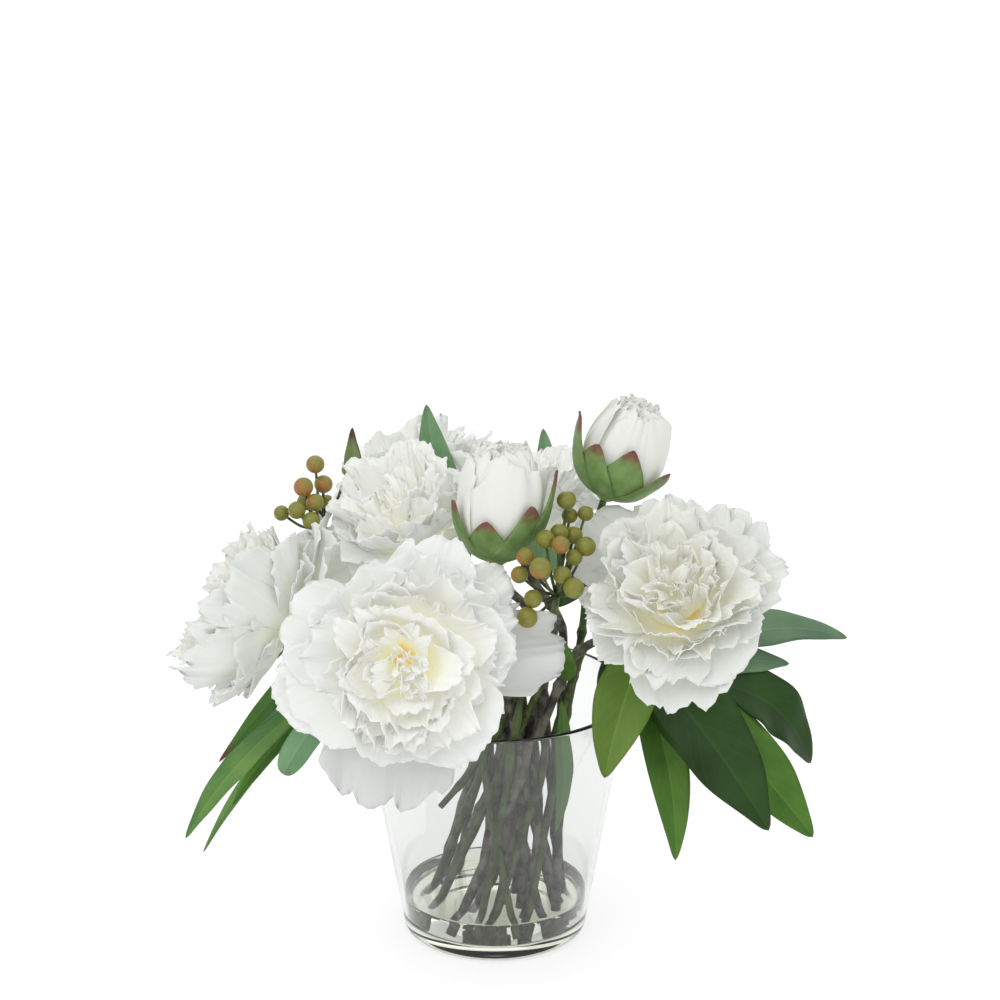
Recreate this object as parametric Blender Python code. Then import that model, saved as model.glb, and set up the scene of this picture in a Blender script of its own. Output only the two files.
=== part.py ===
"""White peonies, two buds, berry sprays and leaves standing in a clear tapered glass vase.

Metres, +Z up. The vase stands on Z = 0 with its axis on the Z axis; the front of the bunch faces -Y.
Flower and leaf places are measured from the centre of the vase's mouth, so they follow its height.
"""
import math

import bmesh
import bpy
from mathutils import Vector

for item in list(bpy.data.objects):
    bpy.data.objects.remove(item, do_unlink=True)

# ---- driving sizes -------------------------------------------------------------------------------
VASE_HEIGHT = 0.1456
VASE_RIM_RADIUS = 0.0763
VASE_FOOT_RADIUS = 0.0513
VASE_WALL = 0.003
VASE_FLOOR = 0.009
VASE_CORNER = 0.006          # rounding at the edge of the foot
WATER_DEPTH = 0.015
CLEARANCE = 0.0004           # left between any two pieces that touch

STEM_RADIUS = 0.0027
STEM_SIDES = 8
TWIG_RADIUS = 0.0012
FOOT_INSET = 0.0105          # from the vase's inner wall to the ring of stem feet
NECK_RISE = 0.020            # the tightest point of the bunch, above the vase's rim
NECK_RADIUS = 0.026
NECK_LEAN = 0.022            # the whole bunch leans this far towards +X
TWIST = 80.0                 # degrees that the stems turn between their feet and the neck
INNER_RADIUS = 0.0115        # ring of cut stems inside the bunch
INNER_TWIST = -70.0
INNER_LENGTH = 0.178

PETAL_THICKNESS = 0.0022
SEPAL_THICKNESS = 0.0012
CALYX_DEPTH = 0.0070
LEAF_THICKNESS = 0.0012
VASE_LEAF_GAP = 0.0130       # from the glass to the tip of the leaf that hangs inside it
BERRY_ROUNDNESS = 2          # subdivisions of each berry ball

MOUTH = Vector((0.0, 0.0, VASE_HEIGHT))

# Open blooms: base and axis from the mouth's centre, radius over the guard petals, height, and the
# place of the stem around the neck in degrees.
BLOOMS = {
    "front": dict(base=(-0.048, -0.082, 0.050), axis=(0.05, -0.92, 0.38), radius=0.060, height=0.050, neck=-132),
    "right": dict(base=(0.1005, -0.059, 0.069), axis=(-0.16, -0.64, 0.75), radius=0.0515, height=0.050, neck=-45),
    "left": dict(base=(-0.114, -0.012, 0.040), axis=(-0.86, -0.05, 0.42), radius=0.048, height=0.062, neck=174),
    "upper_left": dict(base=(-0.045, 0.014, 0.085), axis=(-0.30, -0.30, 0.90), radius=0.043, height=0.055,
                       neck=145),
    "back_centre": dict(base=(0.018, 0.050, 0.078), axis=(0.15, 0.12, 0.97), radius=0.044, height=0.053, neck=50),
    "back_left": dict(base=(-0.042, 0.094, 0.075), axis=(-0.25, 0.50, 0.83), radius=0.046, height=0.055, neck=85),
}
BUDS = {
    "front_bud": dict(base=(0.001, -0.035, 0.092), axis=(0.06, 0.0, 1.0), radius=0.0235, height=0.064, neck=-104),
    "top_bud": dict(base=(0.0620, 0.000, 0.117), axis=(0.34, -0.05, 0.94), radius=0.0225, height=0.055, neck=15),
}
# Leafy twigs and berry sprays end in a free tip instead of a bloom.
TWIGS = {
    "left_twig": dict(tip=(-0.099, -0.033, 0.007), axis=(-1.0, -0.2, -0.25), neck=204),
    "right_twig": dict(tip=(0.120, -0.020, 0.010), axis=(1.0, -0.15, -0.25), neck=-15),
}
SPRAYS = {
    "left_berries": dict(via=(-0.052, 0.052, 0.050), fork=(-0.0975, 0.032, 0.084), neck=115, berries=(
        (-0.0994, 0.0180, 0.1263, 0.0052), (-0.1056, 0.0080, 0.1164, 0.0055), (-0.0951, 0.0180, 0.1147, 0.0052),
        (-0.1180, 0.0080, 0.1012, 0.0044), (-0.1050, 0.0170, 0.1047, 0.0050), (-0.1090, 0.0000, 0.1057, 0.0050),
        (-0.0990, 0.0045, 0.1087, 0.0050), (-0.0940, 0.0250, 0.1019, 0.0042), (-0.1010, -0.0020, 0.1002, 0.0050),
        (-0.0825, 0.0410, 0.1152, 0.0037))),
    "centre_berries": dict(via=(0.031, -0.032, 0.046), fork=(0.034, -0.052, 0.077), neck=-75, berries=(
        (0.0386, -0.0400, 0.1253, 0.0053), (0.0490, -0.0360, 0.1164, 0.0044), (0.0405, -0.0340, 0.1144, 0.0044),
        (0.0270, -0.0600, 0.1101, 0.0052), (0.0347, -0.0500, 0.1104, 0.0050), (0.0425, -0.0450, 0.1071, 0.0050),
        (0.0350, -0.0660, 0.1091, 0.0050), (0.0488, -0.0560, 0.1046, 0.0055), (0.0424, -0.0600, 0.0999, 0.0046),
        (0.0165, -0.0650, 0.1024, 0.0051), (0.0243, -0.0760, 0.0997, 0.0060), (0.0132, -0.0665, 0.0924, 0.0047),
        (0.0360, -0.0690, 0.0931, 0.0050), (0.0420, -0.0760, 0.0883, 0.0056), (0.0205, -0.0710, 0.0804, 0.0050),
        (0.0174, -0.0740, 0.0709, 0.0057))),
}
# Leaves: the stem that each grows on and how far along it, the tip from the mouth's centre, the full
# width, the way the upper side faces, and how far the middle is pushed from a straight line. The leaf
# inside the vase has its tip at an angle and a drop below the rim instead, a gap in from the glass.
LEAVES = {
    "left_leaf_narrow": dict(on="left_stem", at=0.95, tip=(-0.1490, -0.076, -0.012), width=0.012,
                             face=(-0.5, -0.8, 0.3), bend=(0.008, -0.021, 0.0175)),
    "left_leaf_upper": dict(on="left_twig", at=0.94, tip=(-0.1480, -0.020, -0.028), width=0.014,
                            face=(-0.3, -0.7, 0.7), bend=(-0.002, -0.004, 0.004)),
    "left_leaf_long": dict(on="left_twig", at=1.0, tip=(-0.1710, -0.050, -0.069), width=0.022,
                           face=(-0.5, -0.7, 0.6), bend=(-0.004, -0.004, 0.006)),
    "left_leaf_blunt": dict(on="left_twig", at=0.91, tip=(-0.1155, -0.060, -0.026), width=0.019,
                            face=(-0.2, -1.0, 0.2), bend=(-0.002, -0.006, 0.006)),
    "left_leaf_behind": dict(on="left_twig", at=0.985, tip=(-0.1470, -0.022, -0.062), width=0.011,
                             face=(-0.5, -0.8, 0.3), bend=(-0.002, 0.004, 0.002)),
    "left_leaf_low": dict(on="left_twig", at=0.93, tip=(-0.1660, -0.004, -0.099), width=0.012,
                          face=(-0.6, -0.7, 0.3), bend=(-0.004, 0.010, 0.006)),
    "right_leaf_front": dict(on="right_stem", at=0.86, tip=(0.0590, -0.088, -0.016), width=0.033,
                             face=(-0.15, -0.95, 0.35), bend=(-0.002, -0.006, 0.006)),
    "right_leaf_large": dict(on="right_twig", at=0.84, tip=(0.1500, -0.066, -0.057), width=0.042,
                             face=(0.35, -0.75, 0.6), bend=(0.000, -0.005, 0.007)),
    "right_leaf_hanging": dict(on="right_twig", at=0.82, tip=(0.0995, -0.062, -0.077), width=0.025,
                               face=(0.0, -0.95, 0.2), bend=(0.006, -0.007, 0.003)),
    "right_leaf_bright": dict(on="right_twig", at=0.92, tip=(0.1770, -0.040, -0.073), width=0.032,
                              face=(0.4, -0.85, 0.4), bend=(0.003, -0.008, 0.002)),
    "right_leaf_dark": dict(on="right_twig", at=1.0, tip=(0.1780, -0.004, -0.044), width=0.038,
                            face=(0.4, -0.6, 0.7), bend=(0.005, 0.000, 0.010)),
    "right_leaf_far": dict(on="right_twig", at=0.90, tip=(0.1995, 0.026, 0.020), width=0.023,
                           face=(0.1, -0.5, 0.9), bend=(0.000, 0.004, 0.010)),
    "right_leaf_small": dict(on="right_twig", at=0.94, tip=(0.1650, 0.004, 0.013), width=0.018,
                             face=(0.1, -0.6, 0.8), bend=(0.000, 0.000, 0.003)),
    "neck_leaf_light": dict(on="right_stem", at=0.62, tip=(0.0345, -0.048, 0.049), width=0.017,
                            face=(-0.2, -0.80, 0.5), bend=(0.001, -0.001, 0.000)),
    "neck_leaf_dark": dict(on="right_stem", at=0.80, tip=(0.0640, -0.052, -0.002), width=0.020,
                           face=(-0.1, -1.0, 0.1), bend=(-0.002, -0.003, 0.002)),
    "top_leaf_left": dict(on="left_berries", at=0.90, tip=(-0.0800, 0.048, 0.138), width=0.012,
                          face=(-0.5, -0.9, 0.1), bend=(-0.001, 0.004, 0.0)),
    "top_leaf_centre": dict(on="back_left_stem", at=0.83, tip=(-0.0385, 0.053, 0.150), width=0.020,
                            face=(-0.1, -1.0, 0.2), bend=(-0.003, 0.000, 0.0)),
    "top_leaf_back": dict(on="back_centre_stem", at=0.88, tip=(0.0280, 0.112, 0.117), width=0.019,
                          face=(0.1, -1.0, 0.2), bend=(0.004, 0.022, -0.014)),
    "back_leaf": dict(on="back_centre_stem", at=0.80, tip=(0.0900, 0.100, 0.022), width=0.030,
                      face=(0.3, 0.4, 0.8), bend=(0.000, 0.004, 0.012)),
    "vase_leaf": dict(on="right_stem", at=0.57, turn=-46.0, drop=0.072, width=0.018,
                      face=(0.5, -0.85, 0.1), bend=(0.003, -0.003, 0.0)),
}

# ---- materials -----------------------------------------------------------------------------------


def make_material(name, colour, roughness, alpha=1.0, transmission=0.0):
    material = bpy.data.materials.new(name)
    material.use_nodes = True
    shader = material.node_tree.nodes["Principled BSDF"]
    shader.inputs["Base Color"].default_value = (*colour, 1.0)
    shader.inputs["Roughness"].default_value = roughness
    shader.inputs["Metallic"].default_value = 0.0
    shader.inputs["Alpha"].default_value = alpha
    shader.inputs["Transmission Weight"].default_value = transmission
    return material


GLASS = ("glass", (0.86, 0.93, 0.90), 0.03, 0.35, 1.0)
WATER = ("water", (0.90, 0.95, 0.92), 0.02, 0.45, 1.0)
PETAL_WHITE = (0.88, 0.88, 0.84)
PETAL_CREAM = (0.90, 0.89, 0.80)
SEPAL_GREEN = (0.22, 0.36, 0.10)
STEM_BROWN = (0.20, 0.17, 0.13)
STEM_GREEN = (0.10, 0.14, 0.06)
BERRY_GREEN = (0.45, 0.42, 0.10)
LEAF_GREEN = (0.05, 0.16, 0.04)


def finish(name, mesh_builder, material, smooth=True):
    mesh = bpy.data.meshes.new(name)
    mesh_builder.normal_update()
    bmesh.ops.recalc_face_normals(mesh_builder, faces=mesh_builder.faces)
    mesh_builder.to_mesh(mesh)
    mesh_builder.free()
    for face in mesh.polygons:
        face.use_smooth = smooth
    piece = bpy.data.objects.new(name, mesh)
    piece.data.materials.append(material)
    bpy.context.scene.collection.objects.link(piece)
    return piece


def aim(piece, place, axis):
    """Stands a piece that was made along +Z on a place, along an axis."""
    piece.location = place
    piece.rotation_mode = "QUATERNION"
    piece.rotation_quaternion = Vector((0.0, 0.0, 1.0)).rotation_difference(Vector(axis).normalized())


# ---- shapes --------------------------------------------------------------------------------------


def revolve(name, profile, segments, material, lobes=0):
    """Turns (radius, height, lobe share) points round Z. Points at radius 0 close the ends."""
    work = bmesh.new()
    rings = []
    for radius, height, share in profile:
        if radius == 0.0:
            rings.append([work.verts.new((0.0, 0.0, height))])
            continue
        ring = []
        for step in range(segments):
            angle = 2.0 * math.pi * step / segments
            reach = radius * (1.0 + share * math.cos(lobes * angle))
            ring.append(work.verts.new((reach * math.cos(angle), reach * math.sin(angle), height)))
        rings.append(ring)
    if len(rings[0]) > 1:
        rings.append(rings[0])
    for lower, upper in zip(rings, rings[1:]):
        for step in range(segments):
            after = (step + 1) % segments
            if len(lower) == 1:
                work.faces.new((lower[0], upper[after], upper[step]))
            elif len(upper) == 1:
                work.faces.new((lower[step], lower[after], upper[0]))
            else:
                work.faces.new((lower[step], lower[after], upper[after], upper[step]))
    return finish(name, work, material)


def sweep(name, path, radius, sides, material, smooth=True):
    """A round rod along a path, closed at both ends."""
    work = bmesh.new()
    side = None
    rings = []
    for index, point in enumerate(path):
        ahead = path[min(index + 1, len(path) - 1)]
        behind = path[max(index - 1, 0)]
        forward = (ahead - behind).normalized()
        if side is None:
            side = forward.orthogonal()
        side = (side - forward * side.dot(forward)).normalized()
        across = forward.cross(side)
        ring = []
        for step in range(sides):
            angle = 2.0 * math.pi * step / sides
            ring.append(work.verts.new(point + radius * (math.cos(angle) * side + math.sin(angle) * across)))
        rings.append(ring)
    for lower, upper in zip(rings, rings[1:]):
        for step in range(sides):
            after = (step + 1) % sides
            work.faces.new((lower[step], lower[after], upper[after], upper[step]))
    work.faces.new(list(reversed(rings[0])))
    work.faces.new(rings[-1])
    return finish(name, work, material, smooth)


def bezier(start, leave, arrive, end, steps):
    points = []
    for step in range(1, steps + 1):
        t = step / steps
        s = 1.0 - t
        points.append(s ** 3 * start + 3 * s * s * t * leave + 3 * s * t * t * arrive + t ** 3 * end)
    return points


def along(path, share):
    """The point at a share of a path's length, and the way the path runs there."""
    lengths = [(after - before).length for before, after in zip(path, path[1:])]
    left = share * sum(lengths)
    for before, after, length in zip(path, path[1:], lengths):
        if left <= length:
            return before.lerp(after, left / length), (after - before).normalized()
        left -= length
    return path[-1].copy(), (path[-1] - path[-2]).normalized()


def blade(name, base, tip, width, face, bend, material):
    """A leaf: a thin pointed blade with a shallow fold along its middle."""
    work = bmesh.new()
    face = Vector(face).normalized()
    middle = (base + tip) / 2.0 + Vector(bend) * 2.0
    stations = 9
    rings = []
    for step in range(stations + 1):
        t = step / stations
        centre = (1 - t) ** 2 * base + 2 * (1 - t) * t * middle + t * t * tip
        forward = (2 * (1 - t) * (middle - base) + 2 * t * (tip - middle)).normalized()
        side = forward.cross(face).normalized()
        up = side.cross(forward)
        half = width / 2.0 * math.sin(math.pi * t ** 0.9) ** 1.2
        if step in (0, stations):
            rings.append([work.verts.new(centre)])
            continue
        half = max(half, LEAF_THICKNESS)
        fold = up * half * 0.22
        rings.append([
            work.verts.new(centre - side * half + fold),
            work.verts.new(centre + up * LEAF_THICKNESS / 2.0),
            work.verts.new(centre + side * half + fold),
            work.verts.new(centre - up * LEAF_THICKNESS / 2.0),
        ])
    for lower, upper in zip(rings, rings[1:]):
        for step in range(4):
            after = (step + 1) % 4
            if len(lower) == 1:
                work.faces.new((lower[0], upper[after], upper[step]))
            elif len(upper) == 1:
                work.faces.new((lower[step], lower[after], upper[0]))
            else:
                work.faces.new((lower[step], lower[after], upper[after], upper[step]))
    return finish(name, work, material)


def boolean(piece, other, operation):
    """Joins or cuts with another closed piece, which is then removed."""
    change = piece.modifiers.new("boolean", "BOOLEAN")
    change.operation = operation
    change.solver = "EXACT"
    change.object = other
    bpy.context.view_layer.update()
    result = bpy.data.meshes.new_from_object(piece.evaluated_get(bpy.context.evaluated_depsgraph_get()))
    piece.modifiers.clear()
    piece.data = result
    bpy.data.objects.remove(other, do_unlink=True)


# ---- vase and water ------------------------------------------------------------------------------


def wall_radius(height):
    """Outer radius of the glass at a height."""
    return VASE_FOOT_RADIUS + (VASE_RIM_RADIUS - VASE_FOOT_RADIUS) * height / VASE_HEIGHT


def build_vase():
    glass = make_material(*GLASS)
    lip = VASE_WALL / 2.0
    profile = [(0.0, 0.0, 0.0), (VASE_FOOT_RADIUS - VASE_CORNER, 0.0, 0.0)]
    for step in range(1, 5):
        angle = math.radians(90.0 * step / 4)
        height = VASE_CORNER * (1.0 - math.cos(angle))
        profile.append((wall_radius(height) - VASE_CORNER * (1.0 - math.sin(angle)), height, 0.0))
    profile += [
        (wall_radius(VASE_HEIGHT - lip), VASE_HEIGHT - lip, 0.0),
        (wall_radius(VASE_HEIGHT) - lip * 0.35, VASE_HEIGHT - lip * 0.25, 0.0),
        (wall_radius(VASE_HEIGHT) - lip, VASE_HEIGHT, 0.0),
        (wall_radius(VASE_HEIGHT) - VASE_WALL + lip * 0.35, VASE_HEIGHT - lip * 0.25, 0.0),
        (wall_radius(VASE_HEIGHT - lip) - VASE_WALL, VASE_HEIGHT - lip, 0.0),
        (wall_radius(VASE_FLOOR) - VASE_WALL, VASE_FLOOR, 0.0),
        (0.0, VASE_FLOOR, 0.0),
    ]
    return revolve("glass_vase", profile, 48, glass)


def build_water(stem_paths):
    low = VASE_FLOOR + CLEARANCE
    high = VASE_FLOOR + WATER_DEPTH
    gap = VASE_WALL + CLEARANCE
    profile = [
        (0.0, low, 0.0),
        (wall_radius(low) - gap, low, 0.0),
        (wall_radius(high) - gap, high, 0.0),
        (0.0, high, 0.0),
    ]
    water = revolve("water", profile, 40, make_material(*WATER))
    for path in stem_paths:
        lead = (path[1] - path[0]).normalized()
        # the cutter goes straight on below the water, and up past its surface
        run = [path[0] - lead * 0.01, path[0] + lead * (WATER_DEPTH * 1.25 + 0.005)]
        cutter = sweep("cutter", run, STEM_RADIUS + CLEARANCE * 1.5, STEM_SIDES, water.data.materials[0])
        boolean(water, cutter, "DIFFERENCE")
    for face in water.data.polygons:
        face.use_smooth = False
    return water


# ---- stems ---------------------------------------------------------------------------------------


def ring_point(radius, degrees, lean, height):
    angle = math.radians(degrees)
    return Vector((lean + radius * math.cos(angle), radius * math.sin(angle), height))


def foot_of(neck_degrees):
    """Where a stem of the outer ring stands on the vase's floor."""
    radius = wall_radius(VASE_FLOOR) - VASE_WALL - FOOT_INSET
    return ring_point(radius, neck_degrees - TWIST, 0.0, VASE_FLOOR + CLEARANCE + STEM_RADIUS * 0.8)


def outer_path(neck_degrees, end, arrival, via=None):
    """Foot, straight up to the neck, then a curve that arrives along a direction."""
    foot = foot_of(neck_degrees)
    neck = ring_point(NECK_RADIUS, neck_degrees, NECK_LEAN, VASE_HEIGHT + NECK_RISE)
    rise = (neck - foot).normalized()
    path = [foot, foot.lerp(neck, 0.35), foot.lerp(neck, 0.7), neck]
    if via is not None:
        hop = (via - neck).length
        onward = (end - neck).normalized()
        path += bezier(neck, neck + rise * hop * 0.4, via - onward * hop * 0.4, via, 3)
        hop = (end - via).length
        path += bezier(via, via + onward * hop * 0.35, end - arrival * hop * 0.35, end, 3)
        return path
    # the last stretch is straight, so the cut end sits square under the calyx
    last = end - arrival * STEM_RADIUS
    hop = (last - neck).length
    return path + bezier(neck, neck + rise * hop * 0.40, last - arrival * hop * 0.40, last, 5) + [end]


# ---- flowers -------------------------------------------------------------------------------------


def cup_height(radius, reach):
    """Height of the guard petals' underside, at a radius from the bloom's axis."""
    return 0.5 * reach * (radius / reach) ** 1.6


def build_bloom(name, base, axis, radius, height):
    white = make_material(name + "_guard_petals", PETAL_WHITE, 0.55)
    cream = make_material(name + "_heart_petals", PETAL_CREAM, 0.55)
    green = make_material(name + "_calyx", SEPAL_GREEN, 0.5)
    shares = (0.12, 0.35, 0.60, 0.82, 1.0)
    under = [(radius * share, cup_height(radius * share, radius), 0.0) for share in shares[:-1]]
    rim = (radius, cup_height(radius, radius))
    over = [(radius * share, cup_height(radius * share, radius) + PETAL_THICKNESS, 0.0) for share in shares[:-1]]
    profile = [(0.0, 0.0, 0.0)] + under
    profile += [(rim[0], rim[1], 0.05), (rim[0] * 0.985, rim[1] + PETAL_THICKNESS, 0.05)]
    profile += list(reversed(over)) + [(0.0, PETAL_THICKNESS, 0.0)]
    guard = revolve(name + "_guard_petals", profile, 20, white, lobes=5)

    lift = PETAL_THICKNESS + 2.0 * CLEARANCE
    seat = [(radius * share, cup_height(radius * share, radius) + lift, 0.0) for share in (0.22, 0.48, 0.70)]
    profile = [(0.0, lift, 0.0)] + seat + [
        (radius * 0.78, height * 0.62, 0.04),
        (radius * 0.66, height * 0.88, 0.07),
        (radius * 0.46, height, 0.06),
        (radius * 0.20, height * 0.95, 0.0),
        (0.0, height * 0.93, 0.0),
    ]
    heart = revolve(name + "_heart_petals", profile, 21, cream, lobes=7)

    flare = radius * 0.30
    half = radius * 0.16
    profile = [
        (0.0, -CALYX_DEPTH, 0.0),
        (STEM_RADIUS * 1.5, -CALYX_DEPTH * 0.9, 0.0),
        (half, cup_height(half, radius) - CLEARANCE - SEPAL_THICKNESS * 1.6, 0.0),
        (flare, cup_height(flare * 0.62, radius) - CLEARANCE - SEPAL_THICKNESS, 0.30),
        (flare * 0.97, cup_height(flare * 0.60, radius) - CLEARANCE, 0.30),
        (half * 0.9, -CLEARANCE, 0.0),
        (0.0, -CLEARANCE, 0.0),
    ]
    calyx = revolve(name + "_calyx", profile, 20, green, lobes=5)
    for piece in (guard, heart, calyx):
        aim(piece, base, axis)


def build_bud(name, base, axis, radius, height):
    """An egg of closed petals in a cup of sepals. The cup follows the egg at a clearance."""
    cream = make_material(name + "_petals", PETAL_CREAM, 0.5)
    green = make_material(name + "_sepals", SEPAL_GREEN, 0.5)
    steps = 9

    def egg(share, grow):
        turn = math.pi * share
        reach = radius * math.sin(turn) * (1.0 + 0.16 * math.cos(turn)) + grow * math.sin(turn)
        return reach, height / 2.0 * (1.0 - math.cos(turn)) - grow * math.cos(turn)

    profile = [(0.0, 0.0, 0.0)]
    for step in range(1, steps):
        profile.append((*egg(step / steps, 0.0), 0.03 if step > 4 else 0.0))
    profile.append((0.0, height, 0.0))
    petals = revolve(name + "_petals", profile, 18, cream, lobes=3)

    work = bmesh.new()
    segments = 20
    levels = (0.10, 0.24, 0.40, 0.62, 0.82, 1.0)
    inner_grow = CLEARANCE + radius * 0.06
    outer_grow = inner_grow + SEPAL_THICKNESS

    def ring(level, grow):
        points = []
        for step in range(segments):
            angle = 2.0 * math.pi * step / segments
            lobe = 0.5 + 0.5 * math.cos(5.0 * angle)
            share = level * (0.21 + 0.25 * lobe)
            reach, rise = egg(share, grow)
            points.append(work.verts.new((reach * math.cos(angle), reach * math.sin(angle), rise)))
        return points

    outside = [ring(level, outer_grow) for level in levels]
    inside = [ring(level, inner_grow) for level in reversed(levels)]
    rings = outside + inside
    for lower, upper in zip(rings, rings[1:]):
        for step in range(segments):
            after = (step + 1) % segments
            work.faces.new((lower[step], lower[after], upper[after], upper[step]))
    bottom = work.verts.new((0.0, 0.0, -outer_grow - CALYX_DEPTH * 0.2))
    floor = work.verts.new((0.0, 0.0, -inner_grow))
    for step in range(segments):
        after = (step + 1) % segments
        work.faces.new((bottom, rings[0][after], rings[0][step]))
        work.faces.new((floor, rings[-1][step], rings[-1][after]))
    sepals = finish(name + "_sepals", work, green)
    for piece in (petals, sepals):
        aim(piece, base, axis)
    return outer_grow + CALYX_DEPTH * 0.2


def build_spray(name, path, fork, berries):
    """A berry stalk: the stem ends at the fork, and a thin twig goes from there to each berry."""
    green = make_material(name, BERRY_GREEN, 0.35)
    spray = sweep(name, path, STEM_RADIUS * 0.8, 6, green)
    for x, y, z, radius in berries:
        centre = MOUTH + Vector((x, y, z))
        start = fork + (fork - path[-2]).normalized() * -0.001
        sag = (start + centre) / 2.0 + Vector((0.0, 0.0, -0.10 * (centre - start).length))
        twig = sweep("twig", [start, sag, centre], TWIG_RADIUS, 5, green)
        boolean(spray, twig, "UNION")
        work = bmesh.new()
        bmesh.ops.create_icosphere(work, subdivisions=BERRY_ROUNDNESS, radius=radius)
        bmesh.ops.translate(work, verts=work.verts, vec=centre)
        berry = finish("berry", work, green)
        boolean(spray, berry, "UNION")
    return spray


# ---- the bunch -----------------------------------------------------------------------------------

build_vase()
paths = {}
woody = make_material("woody_stem", STEM_BROWN, 0.7)
leafy = make_material("leaf", LEAF_GREEN, 0.45)

for name, bloom in BLOOMS.items():
    axis = Vector(bloom["axis"]).normalized()
    base = MOUTH + Vector(bloom["base"])
    build_bloom(name, base, axis, bloom["radius"], bloom["height"])
    path = outer_path(bloom["neck"], base - axis * (CALYX_DEPTH + CLEARANCE), axis)
    sweep(name + "_stem", path, STEM_RADIUS, STEM_SIDES, woody)
    paths[name + "_stem"] = path

for name, bud in BUDS.items():
    axis = Vector(bud["axis"]).normalized()
    base = MOUTH + Vector(bud["base"])
    depth = build_bud(name, base, axis, bud["radius"], bud["height"])
    path = outer_path(bud["neck"], base - axis * (depth + CLEARANCE), axis)
    sweep(name + "_stem", path, STEM_RADIUS * 0.85, STEM_SIDES, woody)
    paths[name + "_stem"] = path

for name, twig in TWIGS.items():
    axis = Vector(twig["axis"]).normalized()
    path = outer_path(twig["neck"], MOUTH + Vector(twig["tip"]), axis)
    sweep(name, path, STEM_RADIUS * 0.8, STEM_SIDES, woody)
    paths[name] = path

for name, spray in SPRAYS.items():
    via = MOUTH + Vector(spray["via"])
    fork = MOUTH + Vector(spray["fork"])
    path = outer_path(spray["neck"], fork, (fork - via).normalized(), via)
    build_spray(name, path, fork, spray["berries"])
    paths[name] = path

for number in range(4):
    degrees = 90.0 * number + 20.0
    foot = ring_point(INNER_RADIUS, degrees, 0.0, VASE_FLOOR + CLEARANCE + STEM_RADIUS * 0.8)
    head = ring_point(INNER_RADIUS, degrees + INNER_TWIST, NECK_LEAN, VASE_HEIGHT + NECK_RISE)
    head = foot + (head - foot).normalized() * INNER_LENGTH
    path = [foot, foot.lerp(head, 0.5), head]
    name = "cut_stem_%d" % (number + 1)
    sweep(name, path, STEM_RADIUS, STEM_SIDES, woody)
    paths[name] = path

for name, leaf in LEAVES.items():
    if "tip" in leaf:
        tip = MOUTH + Vector(leaf["tip"])
    else:
        height = VASE_HEIGHT - leaf["drop"]
        tip = ring_point(wall_radius(height) - VASE_WALL - VASE_LEAF_GAP, leaf["turn"], 0.0, height)
    joint, run = along(paths[leaf["on"]], leaf["at"])
    way = (tip + joint) / 2.0 + Vector(leaf["bend"]) * 2.0 - joint
    if leaf["at"] < 1.0:
        # a leaf part-way along leaves from the stem's side
        way -= run * way.dot(run)
    base = joint + way.normalized() * (STEM_RADIUS + LEAF_THICKNESS + CLEARANCE)
    blade(name, base, tip, leaf["width"], leaf["face"], leaf["bend"], leafy)

build_water(paths.values())
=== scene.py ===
# %% [markdown]
# # White peonies in a clear glass vase
# A low bunch of open white peonies, two buds, berries and leaves stands in a heavy tapered glass.
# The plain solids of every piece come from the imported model. Each step below takes one piece, reads
# its place and size from its solid, and builds the finished piece there.

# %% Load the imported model
import random
from math import atan2, cos, degrees, exp, pi, radians, sin

import bmesh
import bpy
import numpy as np
from mathutils import Matrix, Vector


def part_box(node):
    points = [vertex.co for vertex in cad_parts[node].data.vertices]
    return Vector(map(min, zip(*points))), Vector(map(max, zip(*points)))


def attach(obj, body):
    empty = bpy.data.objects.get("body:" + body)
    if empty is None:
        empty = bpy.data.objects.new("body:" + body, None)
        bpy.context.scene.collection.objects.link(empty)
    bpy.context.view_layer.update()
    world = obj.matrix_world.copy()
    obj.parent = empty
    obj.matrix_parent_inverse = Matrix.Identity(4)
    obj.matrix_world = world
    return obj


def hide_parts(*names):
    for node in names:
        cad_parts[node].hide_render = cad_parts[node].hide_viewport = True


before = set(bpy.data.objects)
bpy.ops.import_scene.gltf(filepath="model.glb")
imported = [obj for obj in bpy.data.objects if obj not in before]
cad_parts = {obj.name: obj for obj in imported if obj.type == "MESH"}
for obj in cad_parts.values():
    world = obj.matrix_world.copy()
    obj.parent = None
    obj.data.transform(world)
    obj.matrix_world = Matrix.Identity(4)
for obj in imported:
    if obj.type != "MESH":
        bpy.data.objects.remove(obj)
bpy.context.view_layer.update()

# %% [markdown]
# ## Small helpers
# An operator acts on whatever is selected, so every step first selects only its own piece. A modifier
# is applied as soon as it has done its work, so a finished piece is a plain mesh.

# %% Selecting, joining and applying


def only(*pieces):
    if bpy.context.object and bpy.context.object.mode != "OBJECT":
        bpy.ops.object.mode_set(mode="OBJECT")
    bpy.ops.object.select_all(action="DESELECT")
    for piece in pieces:
        piece.select_set(True)
    if pieces:
        bpy.context.view_layer.objects.active = pieces[0]


def apply_all(piece):
    only(piece)
    for modifier in list(piece.modifiers):
        bpy.ops.object.modifier_apply(modifier=modifier.name)


def join(name, pieces):
    only(*pieces)
    if len(pieces) > 1:
        bpy.ops.object.join()
    bpy.ops.object.transform_apply(location=True, rotation=True, scale=True)
    piece = bpy.context.object
    piece.name = name
    piece.data.name = name
    bpy.ops.object.shade_smooth()
    return piece


def thicken(piece, thickness):
    """Gives a sheet its thickness, half of it to each side."""
    shell = piece.modifiers.new("thickness", "SOLIDIFY")
    shell.thickness = thickness
    shell.offset = 0.0
    apply_all(piece)


def paint(piece, name, values):
    """Stores one value on each corner, for the piece's material to read."""
    layer = piece.data.attributes.new(name, "FLOAT", "POINT")
    layer.data.foreach_set("value", values)


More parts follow.
